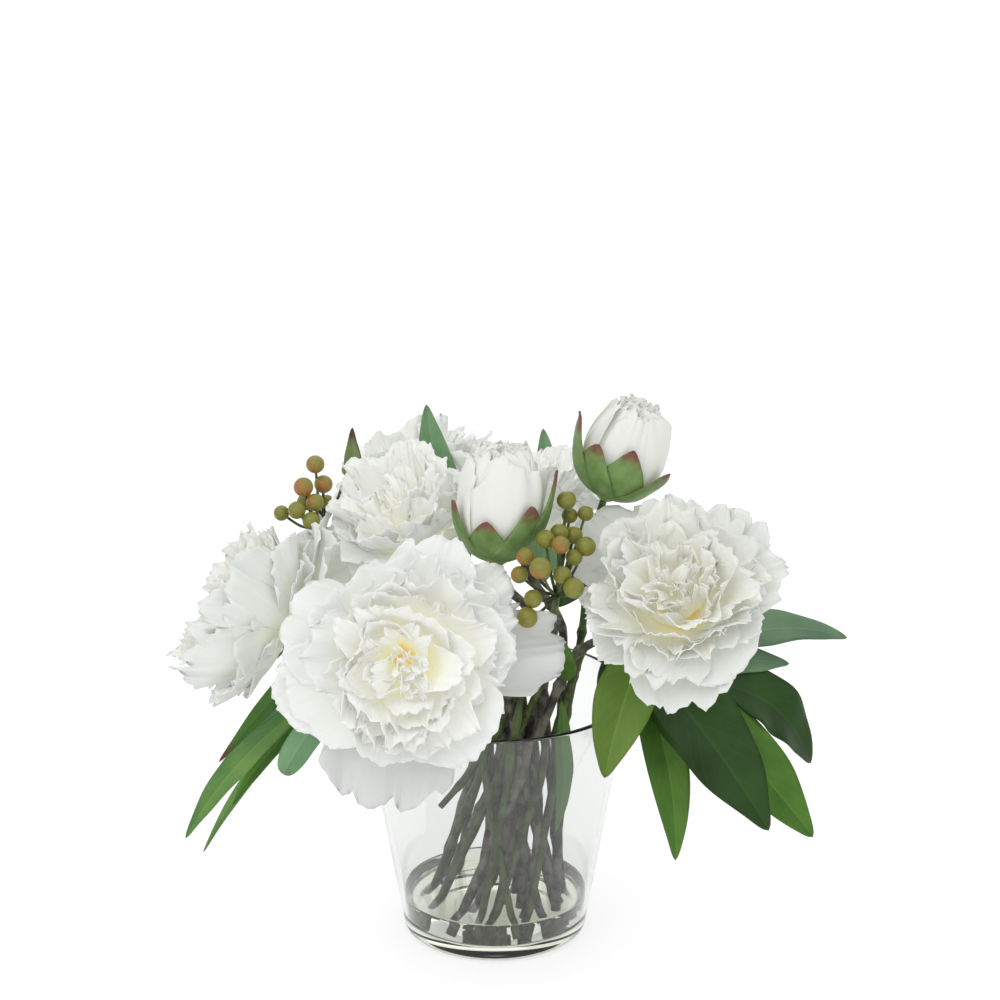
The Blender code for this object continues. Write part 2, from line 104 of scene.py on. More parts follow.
def dress(piece, material, slot, *nodes):
    """Gives a finished piece its material, its body and the solids that it stands for."""
    if material is not None:
        piece.data.materials.clear()
        piece.data.materials.append(material)
    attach(piece, "root")
    if nodes:
        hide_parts(*nodes)
    print(piece.name, len(piece.data.polygons), "faces")
    return piece


# %% Joining shader nodes


def plug(tree, value, socket):
    """Feeds a socket from another node, or sets it to a fixed number or colour."""
    if isinstance(value, bpy.types.NodeSocket):
        tree.links.new(value, socket)
    elif isinstance(value, tuple):
        socket.default_value = (*value, 1.0)
    else:
        socket.default_value = value


def plug_all(tree, node, settings):
    for label, value in settings.items():
        plug(tree, value, node.inputs[label])


def maths(tree, operation, first, second=None):
    node = tree.nodes.new("ShaderNodeMath")
    node.operation = operation
    plug(tree, first, node.inputs[0])
    if second is not None:
        plug(tree, second, node.inputs[1])
    return node.outputs[0]


def times(tree, first, second):
    return maths(tree, "MULTIPLY", first, second)


def ramp_between(tree, value, low, high, first=0.0, last=1.0):
    """One value below low, another above high, and a smooth change between."""
    node = tree.nodes.new("ShaderNodeMapRange")
    node.interpolation_type = "SMOOTHSTEP"
    plug_all(tree, node, {"Value": value, "From Min": low, "From Max": high, "To Min": first, "To Max": last})
    return node.outputs["Result"]


def blend_colours(tree, mask, first, second):
    node = tree.nodes.new("ShaderNodeMix")
    node.data_type = "RGBA"
    for index, value in ((0, mask), (6, first), (7, second)):
        plug(tree, value, node.inputs[index])
    return node.outputs[2]


def axes_of(tree, vector):
    """The X, Y and Z outputs of a vector."""
    split = tree.nodes.new("ShaderNodeSeparateXYZ")
    tree.links.new(vector, split.inputs[0])
    return split.outputs


def painted(tree, name):
    """A value that is stored on the corners of a piece."""
    node = tree.nodes.new("ShaderNodeAttribute")
    node.attribute_name = name
    return node.outputs["Fac"]


def noise_on(tree, settings, vector=None):
    """Noise on a vector, or on the piece's own coordinates."""
    if vector is None:
        vector = tree.nodes.new("ShaderNodeTexCoord").outputs["Object"]
    node = tree.nodes.new("ShaderNodeTexNoise")
    plug_all(tree, node, {"Vector": vector, **settings})
    return node.outputs["Fac"]


def new_material(name, colour, roughness):
    material = bpy.data.materials.new(name)
    material.use_nodes = True
    shader = material.node_tree.nodes["Principled BSDF"]
    plug_all(material.node_tree, shader, {"Base Color": colour, "Roughness": roughness})
    return material, material.node_tree, shader


# %% [markdown]
# ## Reading places back from the solids
# A stem's solid is a rod: rings of corners from one end to the other. Walking from ring to ring gives
# its centre line. A leaf's solid is walked the same way from its stalk to its tip. A bloom's axis runs
# from the middle of its calyx to the middle of its heart.

# %% Walk along a solid


def merged(node):
    work = bmesh.new()
    work.from_mesh(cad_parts[node].data)
    bmesh.ops.remove_doubles(work, verts=work.verts, dist=1e-6)
    work.verts.index_update()
    return work


def walk(start):
    """The rings of corners of a rod or a blade, from a first ring to its far end."""
    rings, seen = [list(start)], set(start)
    while True:
        ring = {edge.other_vert(corner) for corner in rings[-1] for edge in corner.link_edges} - seen
        if not ring:
            return rings
        rings.append(sorted(ring, key=lambda corner: corner.index))
        seen |= ring


def middle_of(points):
    return sum((Vector(point) for point in points), Vector()) / len(points)


def widest_pair(points):
    return max(((a, b) for a in points for b in points), key=lambda pair: (pair[0] - pair[1]).length)


# both in widths of the stem: how far a ring's corners spread, and the least distance between rings
RING_REACH, SHORTEST_STEP = 1.05, 1.5


def centre_line(node, sides):
    """The middle of every ring of corners, from the lowest ring to the far end of the stem."""
    left = corners(node)
    lowest = min(left, key=lambda point: point.z)
    foot = sorted(set(tuple(round(c, 6) for c in point) for point in left),
                  key=lambda point: (Vector(point) - lowest).length)[:sides]
    across = (Vector(foot[-1]) - lowest).length
    line, nearest = [], lowest
    while left:
        ring = [point for point in left if (point - nearest).length < across * RING_REACH]
        left = [point for point in left if (point - nearest).length >= across * RING_REACH]
        one, other = widest_pair(ring)
        middle = (one + other) / 2
        if line and (middle - line[-1]).length < across * SHORTEST_STEP:
            break               # the stem's end, or the fork of a spray
        line.append(middle)
        if left:
            nearest = min(left, key=lambda point: (point - middle).length)
    return line


def corners(node):
    return [Vector(corner.co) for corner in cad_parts[node].data.vertices]


def flower_frame(low_node, high_node, seat_node):
    """Seat and axis of a flower whose pieces share one axis."""
    axis = (middle_of(corners(high_node)) - middle_of(corners(low_node))).normalized()
    seat = min(corners(seat_node), key=lambda point: point.dot(axis))
    return seat, axis


def bloom_frame(name):
    return flower_frame(name + "_calyx", name + "_heart_petals", name + "_guard_petals")


def stand(seat, axis):
    """The matrix that takes a flower made along +Z to its seat and axis."""
    return Matrix.Translation(seat) @ Vector((0, 0, 1)).rotation_difference(axis).to_matrix().to_4x4()


def smooth_line(points, steps):
    """A smooth curve through every point, with some steps between each two."""
    out = []
    count = len(points)
    for index in range(count - 1):
        before = points[max(index - 1, 0)]
        start, end = points[index], points[index + 1]
        after = points[min(index + 2, count - 1)]
        for step in range(steps):
            t = step / steps
            out.append(0.5 * (2 * start + (end - before) * t
                              + (2 * before - 5 * start + 4 * end - after) * t * t
                              + (3 * start - before - 3 * end + after) * t ** 3))
    return out + [points[-1].copy()]


def step_at(line, share):
    """The step of a line that a share of its length falls on, and how far along that step."""
    at = share * (len(line) - 1)
    index = min(int(at), len(line) - 2)
    return index, at - index


BLOOMS = ["front", "right", "left", "upper_left", "back_centre", "back_left"]
for bloom in BLOOMS:
    seat, axis = bloom_frame(bloom)
    print(bloom, "seat", [round(v, 3) for v in seat], "axis", [round(v, 2) for v in axis])

# %% [markdown]
# ## Camera, floor and light
# A plain studio: a pale floor, a large soft light from the upper left, a weaker one from the right and
# a bright room all round. White petals need light from every side, or their folds turn grey.

# %% Camera
TARGET = Vector((0.0029, 0.0, 0.2572))
CAMERA_DISTANCE = 1.8
CAMERA_ELEVATION = radians(19.0)
FRAME_WIDTH = 0.55           # metres that the picture spans at the target

away = Vector((0.0, -cos(CAMERA_ELEVATION), sin(CAMERA_ELEVATION)))
only()
bpy.ops.object.camera_add(location=TARGET + away * CAMERA_DISTANCE,
                          rotation=(radians(90) - CAMERA_ELEVATION, 0.0, 0.0))
camera = bpy.context.object
camera.data.sensor_width = 36.0
camera.data.lens = 36.0 * CAMERA_DISTANCE / FRAME_WIDTH
camera.data.clip_end = 30.0
bpy.context.scene.camera = camera
print("lens", round(camera.data.lens, 1), "mm")

# %% Floor
only()
bpy.ops.mesh.primitive_plane_add(size=14.0, location=(0.0, 3.0, -0.0002))
floor = bpy.context.object
floor.name = "floor"
paper, tree, shader = new_material("studio_paper", (0.35, 0.35, 0.35), 0.9)
plug_all(tree, shader, {"Specular IOR Level": 0.0, "Emission Color": (1.0, 1.0, 1.0),
                        "Emission Strength": 0.74})
floor.data.materials.append(paper)

# %% Lights


def soft_light(name, place, size, power, tint=(1.0, 1.0, 1.0)):
    only()
    bpy.ops.object.light_add(type="AREA", location=place)
    lamp = bpy.context.object
    lamp.name = name
    lamp.data.size = size
    lamp.data.energy = power
    lamp.data.color = tint
    lamp.rotation_euler = (TARGET - Vector(place)).to_track_quat("-Z", "Y").to_euler()
    return lamp


soft_light("key_light", (-1.0, -1.6, 1.8), 1.6, 8.0)
soft_light("back_light", (0.3, 1.8, 1.5), 1.4, 4.0)

# %% The bright room, darker along its walls and at both sides, so that glass shows its edges
WALL_LIGHT, CEILING_LIGHT = 0.66, 1.02
SIDE_CARDS = 0.40            # what is left of the light where dark cards stand at both sides
room = bpy.data.worlds.new("bright_room")
bpy.context.scene.world = room
room.use_nodes = True
walls = room.node_tree
direction = walls.nodes.new("ShaderNodeTexCoord")
split = axes_of(walls, direction.outputs["Generated"])
upward = ramp_between(walls, split["Z"], 0.05, 0.55, WALL_LIGHT, CEILING_LIGHT)
sideways = ramp_between(walls, maths(walls, "ABSOLUTE", split["X"]), 0.78, 0.96, 1.0, SIDE_CARDS)
walls.links.new(times(walls, upward, sideways), walls.nodes["Background"].inputs["Strength"])
walls.nodes["Background"].inputs["Color"].default_value = (0.985, 1.0, 1.0, 1.0)
bpy.context.scene.view_settings.view_transform = "Standard"

# %% [markdown]
# ## Surface patterns that several materials share
# Petals and leaves have fibres that run from base to tip, so both read the same group, which works on
# the piece's own UV map: U across, V from base to tip. Leaves and sepals share the red-brown edge.
# Everything that grew shares a soft blotchy variation in colour.

# %% Node groups


def new_group(name, inputs, outputs):
    group = bpy.data.node_groups.new(name, "ShaderNodeTree")
    for label, kind, value in inputs:
        socket = group.interface.new_socket(label, in_out="INPUT", socket_type=kind)
        if value is not None:
            socket.default_value = value
    for label, kind in outputs:
        group.interface.new_socket(label, in_out="OUTPUT", socket_type=kind)
    return group, group.nodes.new("NodeGroupInput"), group.nodes.new("NodeGroupOutput")


def from_middle(tree, across):
    """Turns 0 to 1 across a blade into 0 along its middle and 1 at both edges."""
    return maths(tree, "ABSOLUTE", maths(tree, "SUBTRACT", times(tree, across, 2.0), 1.0))


def fibre_group():
    group, start, end = new_group(
        "lengthwise_fibres",
        [("UV", "NodeSocketVector", None), ("Fibres", "NodeSocketFloat", 40.0),
         ("Waver", "NodeSocketFloat", 0.6)],
        [("Height", "NodeSocketFloat")])
    split = axes_of(group, start.outputs["UV"])
    stretch = group.nodes.new("ShaderNodeCombineXYZ")
    plug_all(group, stretch, {"X": times(group, split["X"], start.outputs["Fibres"]),
                              "Y": times(group, split["Y"], 2.2)})
    waves = {"Scale": 1.0, "Detail": 3.0, "Distortion": start.outputs["Waver"]}
    height = noise_on(group, waves, stretch.outputs[0])
    group.links.new(height, end.inputs["Height"])
    return group


def mottle_group():
    group, start, end = new_group(
        "soft_mottle", [("Scale", "NodeSocketFloat", 40.0), ("Low", "NodeSocketFloat", 0.35),
                        ("High", "NodeSocketFloat", 0.65)],
        [("Mask", "NodeSocketFloat")])
    noise = noise_on(group, {"Scale": start.outputs["Scale"], "Detail": 4.0})
    mask = ramp_between(group, noise, start.outputs["Low"], start.outputs["High"])
    group.links.new(mask, end.inputs["Mask"])
    return group


def margin_group():
    """A mask that is 1 at the tip and along the side edges, with a ragged inner border."""
    group, start, end = new_group(
        "ragged_margin",
        [("UV", "NodeSocketVector", None), ("Tip", "NodeSocketFloat", 0.80),
         ("Edge", "NodeSocketFloat", 0.88), ("Ragged", "NodeSocketFloat", 0.2)],
        [("Mask", "NodeSocketFloat")])
    split = axes_of(group, start.outputs["UV"])
    noise = noise_on(group, {"Scale": 190.0})
    jitter = times(group, maths(group, "SUBTRACT", noise, 0.5), start.outputs["Ragged"])
    across = from_middle(group, split["X"])
    length = maths(group, "ADD", split["Y"], jitter)
    across = maths(group, "ADD", across, jitter)
    tip_start, edge_start = start.outputs["Tip"], start.outputs["Edge"]
    tip = ramp_between(group, length, tip_start, maths(group, "ADD", tip_start, 0.16))
    side = ramp_between(group, across, edge_start, maths(group, "ADD", edge_start, 0.12))
    side = times(group, side, ramp_between(group, split["Y"], 0.25, 0.7))
    group.links.new(maths(group, "MAXIMUM", tip, side), end.inputs["Mask"])
    return group


FIBRES, MOTTLE, MARGIN = fibre_group(), mottle_group(), margin_group()


def use_group(tree, group, **settings):
    """Adds a shared pattern to a material and hands back what it gives."""
    node = tree.nodes.new("ShaderNodeGroup")
    node.node_tree = group
    plug_all(tree, node, settings)
    return node.outputs[0]


def uv_of(tree):
    return tree.nodes.new("ShaderNodeTexCoord").outputs["UV"]


def bump(tree, shader, height, strength, distance):
    node = tree.nodes.new("ShaderNodeBump")
    plug_all(tree, node, {"Strength": strength, "Distance": distance, "Height": height})
    tree.links.new(node.outputs["Normal"], shader.inputs["Normal"])


print("groups", [group.name for group in (FIBRES, MOTTLE, MARGIN)])

# %% [markdown]
# ## The glass
# The vase is pressed glass: a thick flat foot with a rounded edge, a tapered wall and a fire-polished
# rim. It could be spun from a profile; here it grows as a potter would raise it, from a circle on the
# table that is extruded and widened ring by ring, up the outside, over the rim and down the inside.

# %% Raise a round wall from a circle


def raise_round(name, rings, segments):
    """rings: (radius, height) from the middle of the underside, round the wall, to the middle again."""
    only()
    bpy.ops.mesh.primitive_circle_add(vertices=segments, radius=rings[0][0], fill_type="TRIFAN",
                                      location=(0.0, 0.0, rings[0][1]))
    bpy.ops.object.mode_set(mode="EDIT")
    bpy.ops.mesh.select_mode(type="EDGE")
    bpy.ops.mesh.select_all(action="DESELECT")
    bpy.ops.mesh.select_non_manifold(extend=False)
    for (radius, height), (after, higher) in zip(rings, rings[1:]):
        bpy.ops.mesh.extrude_region_move(TRANSFORM_OT_translate={"value": (0.0, 0.0, higher - height)})
        bpy.ops.transform.resize(value=(after / radius, after / radius, 1.0))
    bpy.ops.mesh.edge_face_add()
    bpy.ops.mesh.poke()
    bpy.ops.mesh.select_all(action="SELECT")
    bpy.ops.mesh.normals_make_consistent(inside=False)
    bpy.ops.object.mode_set(mode="OBJECT")
    return join(name, [bpy.context.object])


vase_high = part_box("glass_vase")[1]
HEIGHT = vase_high[2]
RIM = vase_high[0]
WALL = 0.003
FLOOR = 0.009
CORNER, INNER_CORNER = 0.006, 0.004
FOOT = max(point.xy.length for point in corners("glass_vase") if point.z < CORNER + 0.0002)
SLOPE = (RIM - FOOT) / (HEIGHT - CORNER)


def outside(height):
    """The radius of the outer wall at a height."""
    return FOOT + SLOPE * (height - CORNER)


def arc(centre, radius, first, last, steps):
    angles = [radians(first + (last - first) * step / steps) for step in range(steps + 1)]
    return [(centre[0] + radius * cos(angle), centre[1] + radius * sin(angle)) for angle in angles]


WALL_STEPS = [0.03, 0.06, 0.09, 0.12]
rings = [(FOOT - CORNER - 0.004, 0.0012), (FOOT - CORNER - 0.0015, 0.0)]
rings += arc((FOOT - CORNER, CORNER), CORNER, -90, -8, 8)
rings += [(outside(height), height) for height in WALL_STEPS]
lip = WALL / 2
rings += arc((outside(HEIGHT - lip) - lip, HEIGHT - lip), lip, 0, 180, 8)
rings += [(outside(height) - WALL, height) for height in reversed(WALL_STEPS)]
curve_height = FLOOR + INNER_CORNER
rings += arc((outside(curve_height) - WALL - INNER_CORNER, curve_height), INNER_CORNER, 0, -90, 5)
vase = raise_round("glass_vase_clear", rings, 128)

# %% Clear glass
glass, tree, shader = new_material("clear_glass", (0.90, 0.91, 0.90), 0.0)
place = tree.nodes.new("ShaderNodeTexCoord")
up = axes_of(tree, place.outputs["Object"])["Z"]
tint = blend_colours(tree, ramp_between(tree, up, 0.004, 0.022), (0.80, 0.83, 0.70), (0.90, 0.91, 0.90))
plug_all(tree, shader, {"Base Color": tint, "Transmission Weight": 1.0, "IOR": 1.5})
dress(vase, glass, "glass", "glass_vase")

# %% Water
GAP = 0.0001                 # between the water and the glass
RAISED_EDGE, EDGE_WIDTH = 0.0006, 0.004
surface_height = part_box("water")[1][2]
water_edge = outside(surface_height) - WALL
low_centre = (outside(curve_height) - WALL - INNER_CORNER - GAP, FLOOR + 0.00015 + INNER_CORNER)
rings = arc(low_centre, INNER_CORNER, -90, 0, 5)
rings += [(outside(surface_height - 0.0012) - WALL - GAP, surface_height - 0.0012),
          (water_edge - GAP, surface_height + RAISED_EDGE), (water_edge - 0.0012, surface_height + GAP),
          (water_edge - EDGE_WIDTH, surface_height)]
water = raise_round("still_water", rings, 96)
clear, tree, shader = new_material("clear_water", (0.89, 0.90, 0.84), 0.0)
plug_all(tree, shader, {"Transmission Weight": 1.0, "IOR": 1.33})
dress(water, clear, "water", "water")

# %% [markdown]
# ## Stems
# Peony and berry stems are woody: grey-brown bark and a swollen knuckle where each leaf pair was cut
# away. A bevelled curve gives a round stem whose thickness can change at
# every point of its line, which is how the knuckles are made.

# %% Bark and green stalk materials


def bark(name, dark, pale, rough):
    material, tree, shader = new_material(name, dark, rough)
    blotch = use_group(tree, MOTTLE, Scale=120.0, Low=0.38, High=0.62)
    plug(tree, blend_colours(tree, blotch, dark, pale), shader.inputs["Base Color"])
    grain = use_group(tree, MOTTLE, Scale=700.0, Low=0.3, High=0.7)
    bump(tree, shader, grain, 0.5, 0.0004)
    return material


BARK = bark("woody_bark", (0.060, 0.053, 0.038), (0.235, 0.220, 0.185), 0.70)
GREEN_STALK = bark("green_stalk", (0.038, 0.058, 0.012), (0.115, 0.160, 0.038), 0.5)

# %% One stem from its centre line


def rod(name, line, radii, sides=3):
    """A round rod along a line. sides is the bevel resolution: the rod has 4 + 2 * sides faces round."""
    only()
    bpy.ops.curve.primitive_bezier_curve_add(location=(0.0, 0.0, 0.0))
    curve = bpy.context.object
    curve.data.splines.clear()
    spline = curve.data.splines.new("POLY")
    spline.points.add(len(line) - 1)
    for point, place, radius in zip(spline.points, line, radii):
        point.co = (*place, 1.0)
        point.radius = radius
    curve.data.bevel_depth = 1.0
    curve.data.bevel_resolution = sides
    curve.data.use_fill_caps = True
    only(curve)
    bpy.ops.object.convert(target="MESH")
    rod_mesh = bpy.context.object
    rod_mesh.name = name
    return rod_mesh


def length_of(line):
    return sum((b - a).length for a, b in zip(line, line[1:]))


def knuckles(line, chance):
    """How far along a stem its knuckles sit, one every few centimetres."""
    spots, run = [], 0.0
    total = length_of(line)
    while run < total:
        run += chance.uniform(0.022, 0.045)
        spots.append(run)
    return spots


KNUCKLE_LENGTH, KNUCKLE_SWELL = 0.0024, 0.42


def knuckled(line, thickness, spots):
    """Radii along a stem that swells at its knuckles and thins towards its head."""
    total = length_of(line)
    radii, travelled = [], 0.0
    for index, place in enumerate(line):
        if index:
            travelled += (place - line[index - 1]).length
        swell = sum(exp(-((travelled - spot) / KNUCKLE_LENGTH) ** 2) for spot in spots)
        radii.append(thickness * (1.0 + KNUCKLE_SWELL * min(swell, 1.0)) * (1.08 - 0.18 * travelled / total))
    return radii


def in_the_vase(point):
    return point.z > FLOOR + 0.004 and point.xy.length < outside(point.z) - WALL - 0.004


SHORTEST_SHOOT, FORKED_SHOOT, LONG_SHOOT = 0.005, 0.025, 0.03


def shoots(name, line, thickness, spots, chance, ceiling, lengths):
    """Side shoots that leave the knuckles of a stem below a ceiling height. A long one ends in a fork."""
    pieces, travelled = [], 0.0
    for before, after in zip(line, line[1:]):
        travelled += (after - before).length
        if not any(abs(travelled - spot) < 0.0016 for spot in spots) or after.z > ceiling or after.z < 0.028:
            continue
        run = (after - before).normalized()
        if run.length < 0.5:
            continue
        side = Matrix.Rotation(chance.uniform(0, 2 * pi), 3, run) @ run.orthogonal().normalized()
        reach = chance.choice(lengths)
        drop = reach > LONG_SHOOT and after.z > 0.07 and chance.random() < 0.6
        way = ((-run if drop else run) + side * chance.uniform(0.45, 0.85)).normalized()
        while reach > 0.004 and not in_the_vase(after + way * reach):
            reach *= 0.8
        if reach < SHORTEST_SHOOT:
            continue
        middle = after + way * reach * 0.5 + run * reach * 0.04
        twig = smooth_line([after, middle, after + way * reach], 5)
        size = thickness * (0.88 if reach > LONG_SHOOT else 0.60)
        pieces.append(rod(name, twig, knuckled(twig, size, [reach * 0.6]), 1))
        if reach > FORKED_SHOOT and not drop:
            for lean in (-0.5, 0.6):
                prong = (way + side.cross(run) * lean).normalized() * chance.uniform(0.005, 0.009)
                fork = [twig[-2], twig[-1] + prong * 0.5, twig[-1] + prong]
                pieces.append(rod(name, fork, [size * 0.7] * 3, 1))
    return pieces


def leg(name, line, share, foot_angle, foot_radius, thickness, chance):
    """A low branch that leaves a stem part-way up and stands on the floor of the glass by itself."""
    start = line[int(share * (len(line) - 1))]
    angle = radians(foot_angle)
    foot = Vector((foot_radius * cos(angle), foot_radius * sin(angle), FLOOR + 0.0035))
    bow = Vector((chance.uniform(-0.004, 0.004), chance.uniform(-0.004, 0.004), 0.0))
    run = smooth_line([foot, foot.lerp(start, 0.5) + bow, start], 14)
    return rod(name, run, knuckled(run, thickness, knuckles(run, chance)))


STEMS = {bloom + "_stem": BARK for bloom in BLOOMS}
STEMS.update({"front_bud_stem": GREEN_STALK, "top_bud_stem": GREEN_STALK, "left_twig": GREEN_STALK,
              "right_twig": GREEN_STALK})
STEMS.update({"cut_stem_%d" % number: BARK for number in range(1, 5)})
# low branches: how far up a stem they leave it, and where they stand on the glass floor
LEGS = {
    "cut_stem_1": [(0.62, -62, 0.034), (0.45, -20, 0.036)],
    "cut_stem_2": [(0.66, -92, 0.030), (0.50, -120, 0.026)],
    "cut_stem_3": [(0.58, -35, 0.030), (0.70, 10, 0.036)],
    "cut_stem_4": [(0.60, -160, 0.036), (0.72, -50, 0.022)],
    "front_stem": [(0.42, -15, 0.038)], "left_stem": [(0.40, 5, 0.034)],
    "upper_left_stem": [(0.38, -48, 0.040)], "front_bud_stem": [(0.36, -104, 0.038)],
    "left_twig": [(0.50, -74, 0.041)],
}
WOODY_RADIUS, GREEN_RADIUS = 0.0026, 0.0022
CUT_SHOOTS, SHORT_SHOOTS = (0.050, 0.070, 0.090), (0.008, 0.014, 0.040)
chance = random.Random(11)
for node, stem_material in STEMS.items():
    line = smooth_line(centre_line(node, 8), 12)
    radius = WOODY_RADIUS if stem_material is BARK else GREEN_RADIUS
    spots = knuckles(line, chance)
    grown = [rod(node + "_grown", line, knuckled(line, radius, spots))]
    lengths = CUT_SHOOTS if node.startswith("cut_stem") else SHORT_SHOOTS
    grown += shoots(node + "_shoot", line, radius, spots, chance, HEIGHT - 0.012, lengths)
    for share, foot_angle, foot_radius in LEGS.get(node, ()):
        grown.append(leg(node + "_leg", line, share, foot_angle, foot_radius, radius * 0.92, chance))
    dress(join(node + "_grown", grown), stem_material, "woody_stem", node)

# %% [markdown]
# ## Leaves
# A peony leaf is a long pointed blade with a sunken midrib and veins that arch towards the edge. Each
# one starts as a flat grid that is laid along the centre line of its solid: the grid's columns follow
# the folded cross-section and its rows the stalk-to-tip line. The sheet then gets its thickness.

# %% Leaf materials


def leaf_material(name, dark, pale, rough, brown_tip=0.93, brown_edge=1.4):
    material, tree, shader = new_material(name, dark, rough)
    uv = uv_of(tree)
    split = axes_of(tree, uv)
    across = from_middle(tree, split["X"])
    # the main veins run almost lengthwise and arch outwards
    arch = maths(tree, "SUBTRACT", split["Y"], times(tree, across, 0.30))
    vein = ramp_between(tree, maths(tree, "SINE", times(tree, arch, 64.0)), 0.88, 1.0)
    rib = maths(tree, "SUBTRACT", 1.0, ramp_between(tree, across, 0.01, 0.07))
    lines = maths(tree, "MAXIMUM", times(tree, vein, 0.35), rib)
    blotch = use_group(tree, MOTTLE, Scale=38.0, Low=0.3, High=0.7)
    # painted light: one half of the folded blade is painted paler than the other, as if it caught more light
    half = ramp_between(tree, split["X"], 0.47, 0.53)
    mix = maths(tree, "ADD", times(tree, blotch, 0.6), times(tree, half, 0.4))
    colour = blend_colours(tree, mix, dark, pale)
    lighter = tuple(min(1.0, channel * 1.5 + 0.01) for channel in pale)
    colour = blend_colours(tree, times(tree, lines, 0.32), colour, lighter)
    edge = use_group(tree, MARGIN, UV=uv, Tip=brown_tip, Edge=brown_edge, Ragged=0.12)
    colour = blend_colours(tree, edge, colour, (0.10, 0.045, 0.03))
    plug_all(tree, shader, {"Base Color": colour, "Specular IOR Level": 0.22})
    fibres = use_group(tree, FIBRES, UV=uv, Fibres=60.0, Waver=0.3)
    height = maths(tree, "SUBTRACT", times(tree, fibres, 0.35), lines)
    bump(tree, shader, height, 0.30, 0.0004)
    return material


# dark and pale green, roughness, and where the brown of the tip and of the edge starts
LEAF_LOOKS = {
    "deep": ((0.014, 0.042, 0.006), (0.030, 0.080, 0.014), 0.42),
    "fresh": ((0.042, 0.120, 0.012), (0.095, 0.215, 0.028), 0.42, 0.94, 1.4),
    "olive": ((0.095, 0.175, 0.022), (0.150, 0.250, 0.045), 0.45, 0.93, 0.95),
    "cool": ((0.080, 0.160, 0.085), (0.160, 0.265, 0.150), 0.45),
    "pale": ((0.130, 0.260, 0.120), (0.220, 0.390, 0.205), 0.5),
    "soft": ((0.072, 0.185, 0.050), (0.165, 0.305, 0.075), 0.45),
    "tipped": ((0.030, 0.095, 0.010), (0.060, 0.160, 0.020), 0.42, 0.84, 1.4),
    "rusty": ((0.150, 0.200, 0.075), (0.240, 0.310, 0.130), 0.5, 0.80, 0.92),
}
LEAF_KINDS = {kind: leaf_material("leaf_" + kind, *looks) for kind, looks in LEAF_LOOKS.items()}

# %% Lay a blade along its solid


def blade_frame(node):
    """Centre, side and upper directions and half width at every station, stalk first."""
    work = merged(node)
    pairs = ((a, b) for a in work.verts for b in work.verts)
    ends = max(pairs, key=lambda pair: (pair[0].co - pair[1].co).length)
    neck = Vector((0.022, 0.0, HEIGHT + 0.02))
    start = min(ends, key=lambda corner: (corner.co - neck).length)
    rings = walk([start])
    stations = []
    for ring in rings[1:-1]:
        points = [corner.co.copy() for corner in ring]
        left, right = widest_pair(points)
        spine = middle_of([point for point in points if point is not left and point is not right])
        stations.append((spine, (right - left) / 2, (left + right) / 2 - spine))
    first, last = rings[0][0].co.copy(), rings[-1][0].co.copy()
    work.free()
    side = stations[0][1].normalized()
    for index, (spine, half, fold) in enumerate(stations):
        if half.dot(side) < 0:
            half = -half
        side = half.normalized()
        stations[index] = (spine, half, fold)
    return first, last, stations


ROUND = 6.28                 # one turn of a wave, in radians


def phases(chance, count):
    """Where each of several waves starts."""
    return [chance.uniform(0, ROUND) for _ in range(count)]


def grid_sheet(name, columns, rows):
    only()
    bpy.ops.mesh.primitive_grid_add(x_subdivisions=columns, y_subdivisions=rows, size=2.0, location=(0, 0, 0))
    sheet = bpy.context.object
    sheet.name = name
    return sheet


LEAF_THICKNESS = 0.0007
BLUNT_TAPER, BLUNT_FROM = 0.62, 0.72


def lay_leaf(node, seed, fullness, blunt):
    first, last, stations = blade_frame(node)
    chance = random.Random(seed)
    spine = smooth_line([first] + [station[0] for station in stations] + [last], 5)
    widest = max(station[1].length for station in stations) * fullness
    sides = [stations[0][1]] + [station[1] for station in stations] + [stations[-1][1]]
    ups = [stations[0][2]] + [station[2] for station in stations] + [stations[-1][2]]
    sides = smooth_line([side.normalized() for side in sides], 5)
    ups = smooth_line([up.normalized() for up in ups], 5)
    sheet = grid_sheet(node, 10, 44)
    wave, phase, ripple = chance.uniform(2.0, 3.4), chance.uniform(0, ROUND), chance.uniform(0.05, 0.09)
    for corner in sheet.data.vertices:
        u, v = corner.co.x, (corner.co.y + 1) / 2
        index, part = step_at(spine, v)
        centre = spine[index].lerp(spine[index + 1], part)
        side = sides[index].lerp(sides[index + 1], part).normalized()
        up = ups[index].lerp(ups[index + 1], part).normalized()
        taper = min(1.0, v ** 0.88)
        if blunt:
            taper = min(taper, BLUNT_TAPER)
        half = widest * max(0.07 * (1 - v) + 0.004, sin(pi * taper) ** 0.80)
        if blunt and v > BLUNT_FROM:
            half *= max(0.03, 1.0 - ((v - BLUNT_FROM) / (1.0 - BLUNT_FROM)) ** 2.6) ** 0.5
        lift = half * (0.30 * abs(u) ** 1.2 - 0.10 * u * u)
        waving = sin(wave * pi * v * 2 + phase + u) * sin(pi * v)
        lift += widest * ripple * abs(u) * waving
        corner.co = centre + side * half * u + up * lift
    sheet.data.update()
    thicken(sheet, LEAF_THICKNESS)
    return sheet


